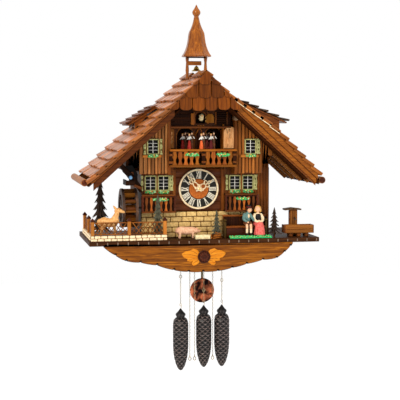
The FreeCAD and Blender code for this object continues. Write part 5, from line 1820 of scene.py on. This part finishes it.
def cuckoo():
    bird = Build().paint("bird")
    limb(bird, [(0, -251.5, 11), (0, -258, 13), (0, -266, 14), (0, -272, 18)], [2.6, 6.2, 7.0, 5.6], 16)
    bird.ball((6.6, 6.4, 6.8), (0, -271.6, 20.8), 18)
    for side in (-1, 1):
        bird.paint("umber").ball((1.2, 7, 4), (side * 5.6, -260, 15), 12, turn("X", -16))
        bird.paint("eye").ball((1.1, 1.0, 1.1), (side * 3.8, -276.6, 23.0), 8)
    bird.paint("log_end")
    bird.lathe([(2.2, 0), (1.7, 2.4), (0.2, 5.8)], (0, -276.6, 21.6), Vector((0, -1, 0.3)), 10)
    bird.lathe([(1.8, 0), (1.4, 2.2), (0.2, 4.6)], (0, -276.4, 18.8), Vector((0, -1, -0.4)), 10)
    bird.paint("steel").tube([(0, -214, 12), (0, -256, 12)], 1.2, 10)
    bird.piece("cuckoo_bird", "bird", "figure_paint", replaces=("cuckoo",))
    hinge = Vector((15.5, -254.5, 0))
    along = Vector((0.766, -0.643, 0))
    outline = [(2.2, 1.5), (27, 1.5)] + arc(14.6, 16.5, 12.4, 0, 180, 14, 0.9)
    door = Build().paint("tan_door")
    door.slab(outline, 2.5, frame_at(hinge, along, Z, along.cross(Z)), 0.6, along=1, tone=0.6)
    door.paint("brass")
    for z in (4, 14):
        door.tube([(hinge.x, hinge.y, z), (hinge.x, hinge.y, z + 5)], 1.8, 14)
    door.piece("cuckoo_shutter", "door", replaces=("cuckoo_door",))


# ---------------------------------------------------------------- CAD pieces that stay

KEPT = {
    "case_wood": ("back_panel", "case_sides", "bellows"),
    "wall_wood": ("lower_walls",),
    "log_wood": ("log_wall",),
    "stage_wood": ("stage_wall", "gable_wall"),
    "board_wood": ("roof_boards",),
    "pane": ("window_panes",),
    "brass": ("movement_plates", "cannon_pinion", "hour_wheel", "minute_wheel", "chain_wheel_left",
              "chain_wheel_centre", "chain_wheel_right"),
    "steel": ("gong",),
    "rod_wood": ("pendulum_rod",),
}


def dress_kept():
    for material, nodes in KEPT.items():
        for node in nodes:
            piece = frame["nodes"][node]
            for part in [piece] + list(piece.children_recursive):
                if part.type == "MESH":
                    if not part.material_slots:
                        part.data.materials.append(None)
                    for place in part.material_slots:
                        place.link = "OBJECT"
                        place.material = MATERIALS[material]


# ---------------------------------------------------------------- light and floor

def area_light(name, at, target, size, power, colour=(1, 1, 1)):
    data = bpy.data.lights.new(name, "AREA")
    data.shape, data.size, data.energy, data.color = "DISK", size, power, colour
    lamp = bpy.data.objects.new(name, data)
    lamp.location = at
    lamp.rotation_mode = "QUATERNION"
    lamp.rotation_quaternion = (Vector(target) - Vector(at)).to_track_quat("-Z", "Y")
    bpy.context.scene.collection.objects.link(lamp)


def studio():
    scene = bpy.context.scene
    world = bpy.data.worlds.new("Studio")
    world.use_nodes = True
    world.node_tree.nodes["Background"].inputs["Color"].default_value = (1, 1, 1, 1)
    world.node_tree.nodes["Background"].inputs["Strength"].default_value = 1.0
    scene.world = world
    scene.view_settings.view_transform = "Standard"
    area_light("key", (-1.9, -2.6, 1.9), (0, -0.2, -0.15), 0.9, 74, (1, 0.93, 0.82))
    area_light("fill", (2.3, -2.4, 0.6), (0, -0.2, -0.2), 1.6, 16, (1, 0.94, 0.86))
    area_light("top", (0.2, -0.5, 2.4), (0, -0.2, 0), 1.0, 20)
    shader = Shader("floor", 0.8)
    shader.surface.inputs["Base Color"].default_value = (0.92, 0.92, 0.92, 1)
    mesh = bpy.data.meshes.new("floor")
    reach, low = 3.0, -0.94
    mesh.from_pydata([(-reach, -reach, low), (reach, -reach, low), (reach, reach, low),
                      (-reach, reach, low)], [],
                     [(0, 1, 2, 3)])
    mesh.materials.append(shader.material)
    floor = bpy.data.objects.new("floor", mesh)
    scene.collection.objects.link(floor)


for make in (roof_slopes, hip, verge_tiles, verge, dormers, tower, upper_storey, stones, windows, stage,
             gable, side_balconies, base, garden, pines, animals, yard, couple, fountain, mill, dial,
             hands, weights_and_chains, bob, carousel, cuckoo, dress_kept, studio):
    make()
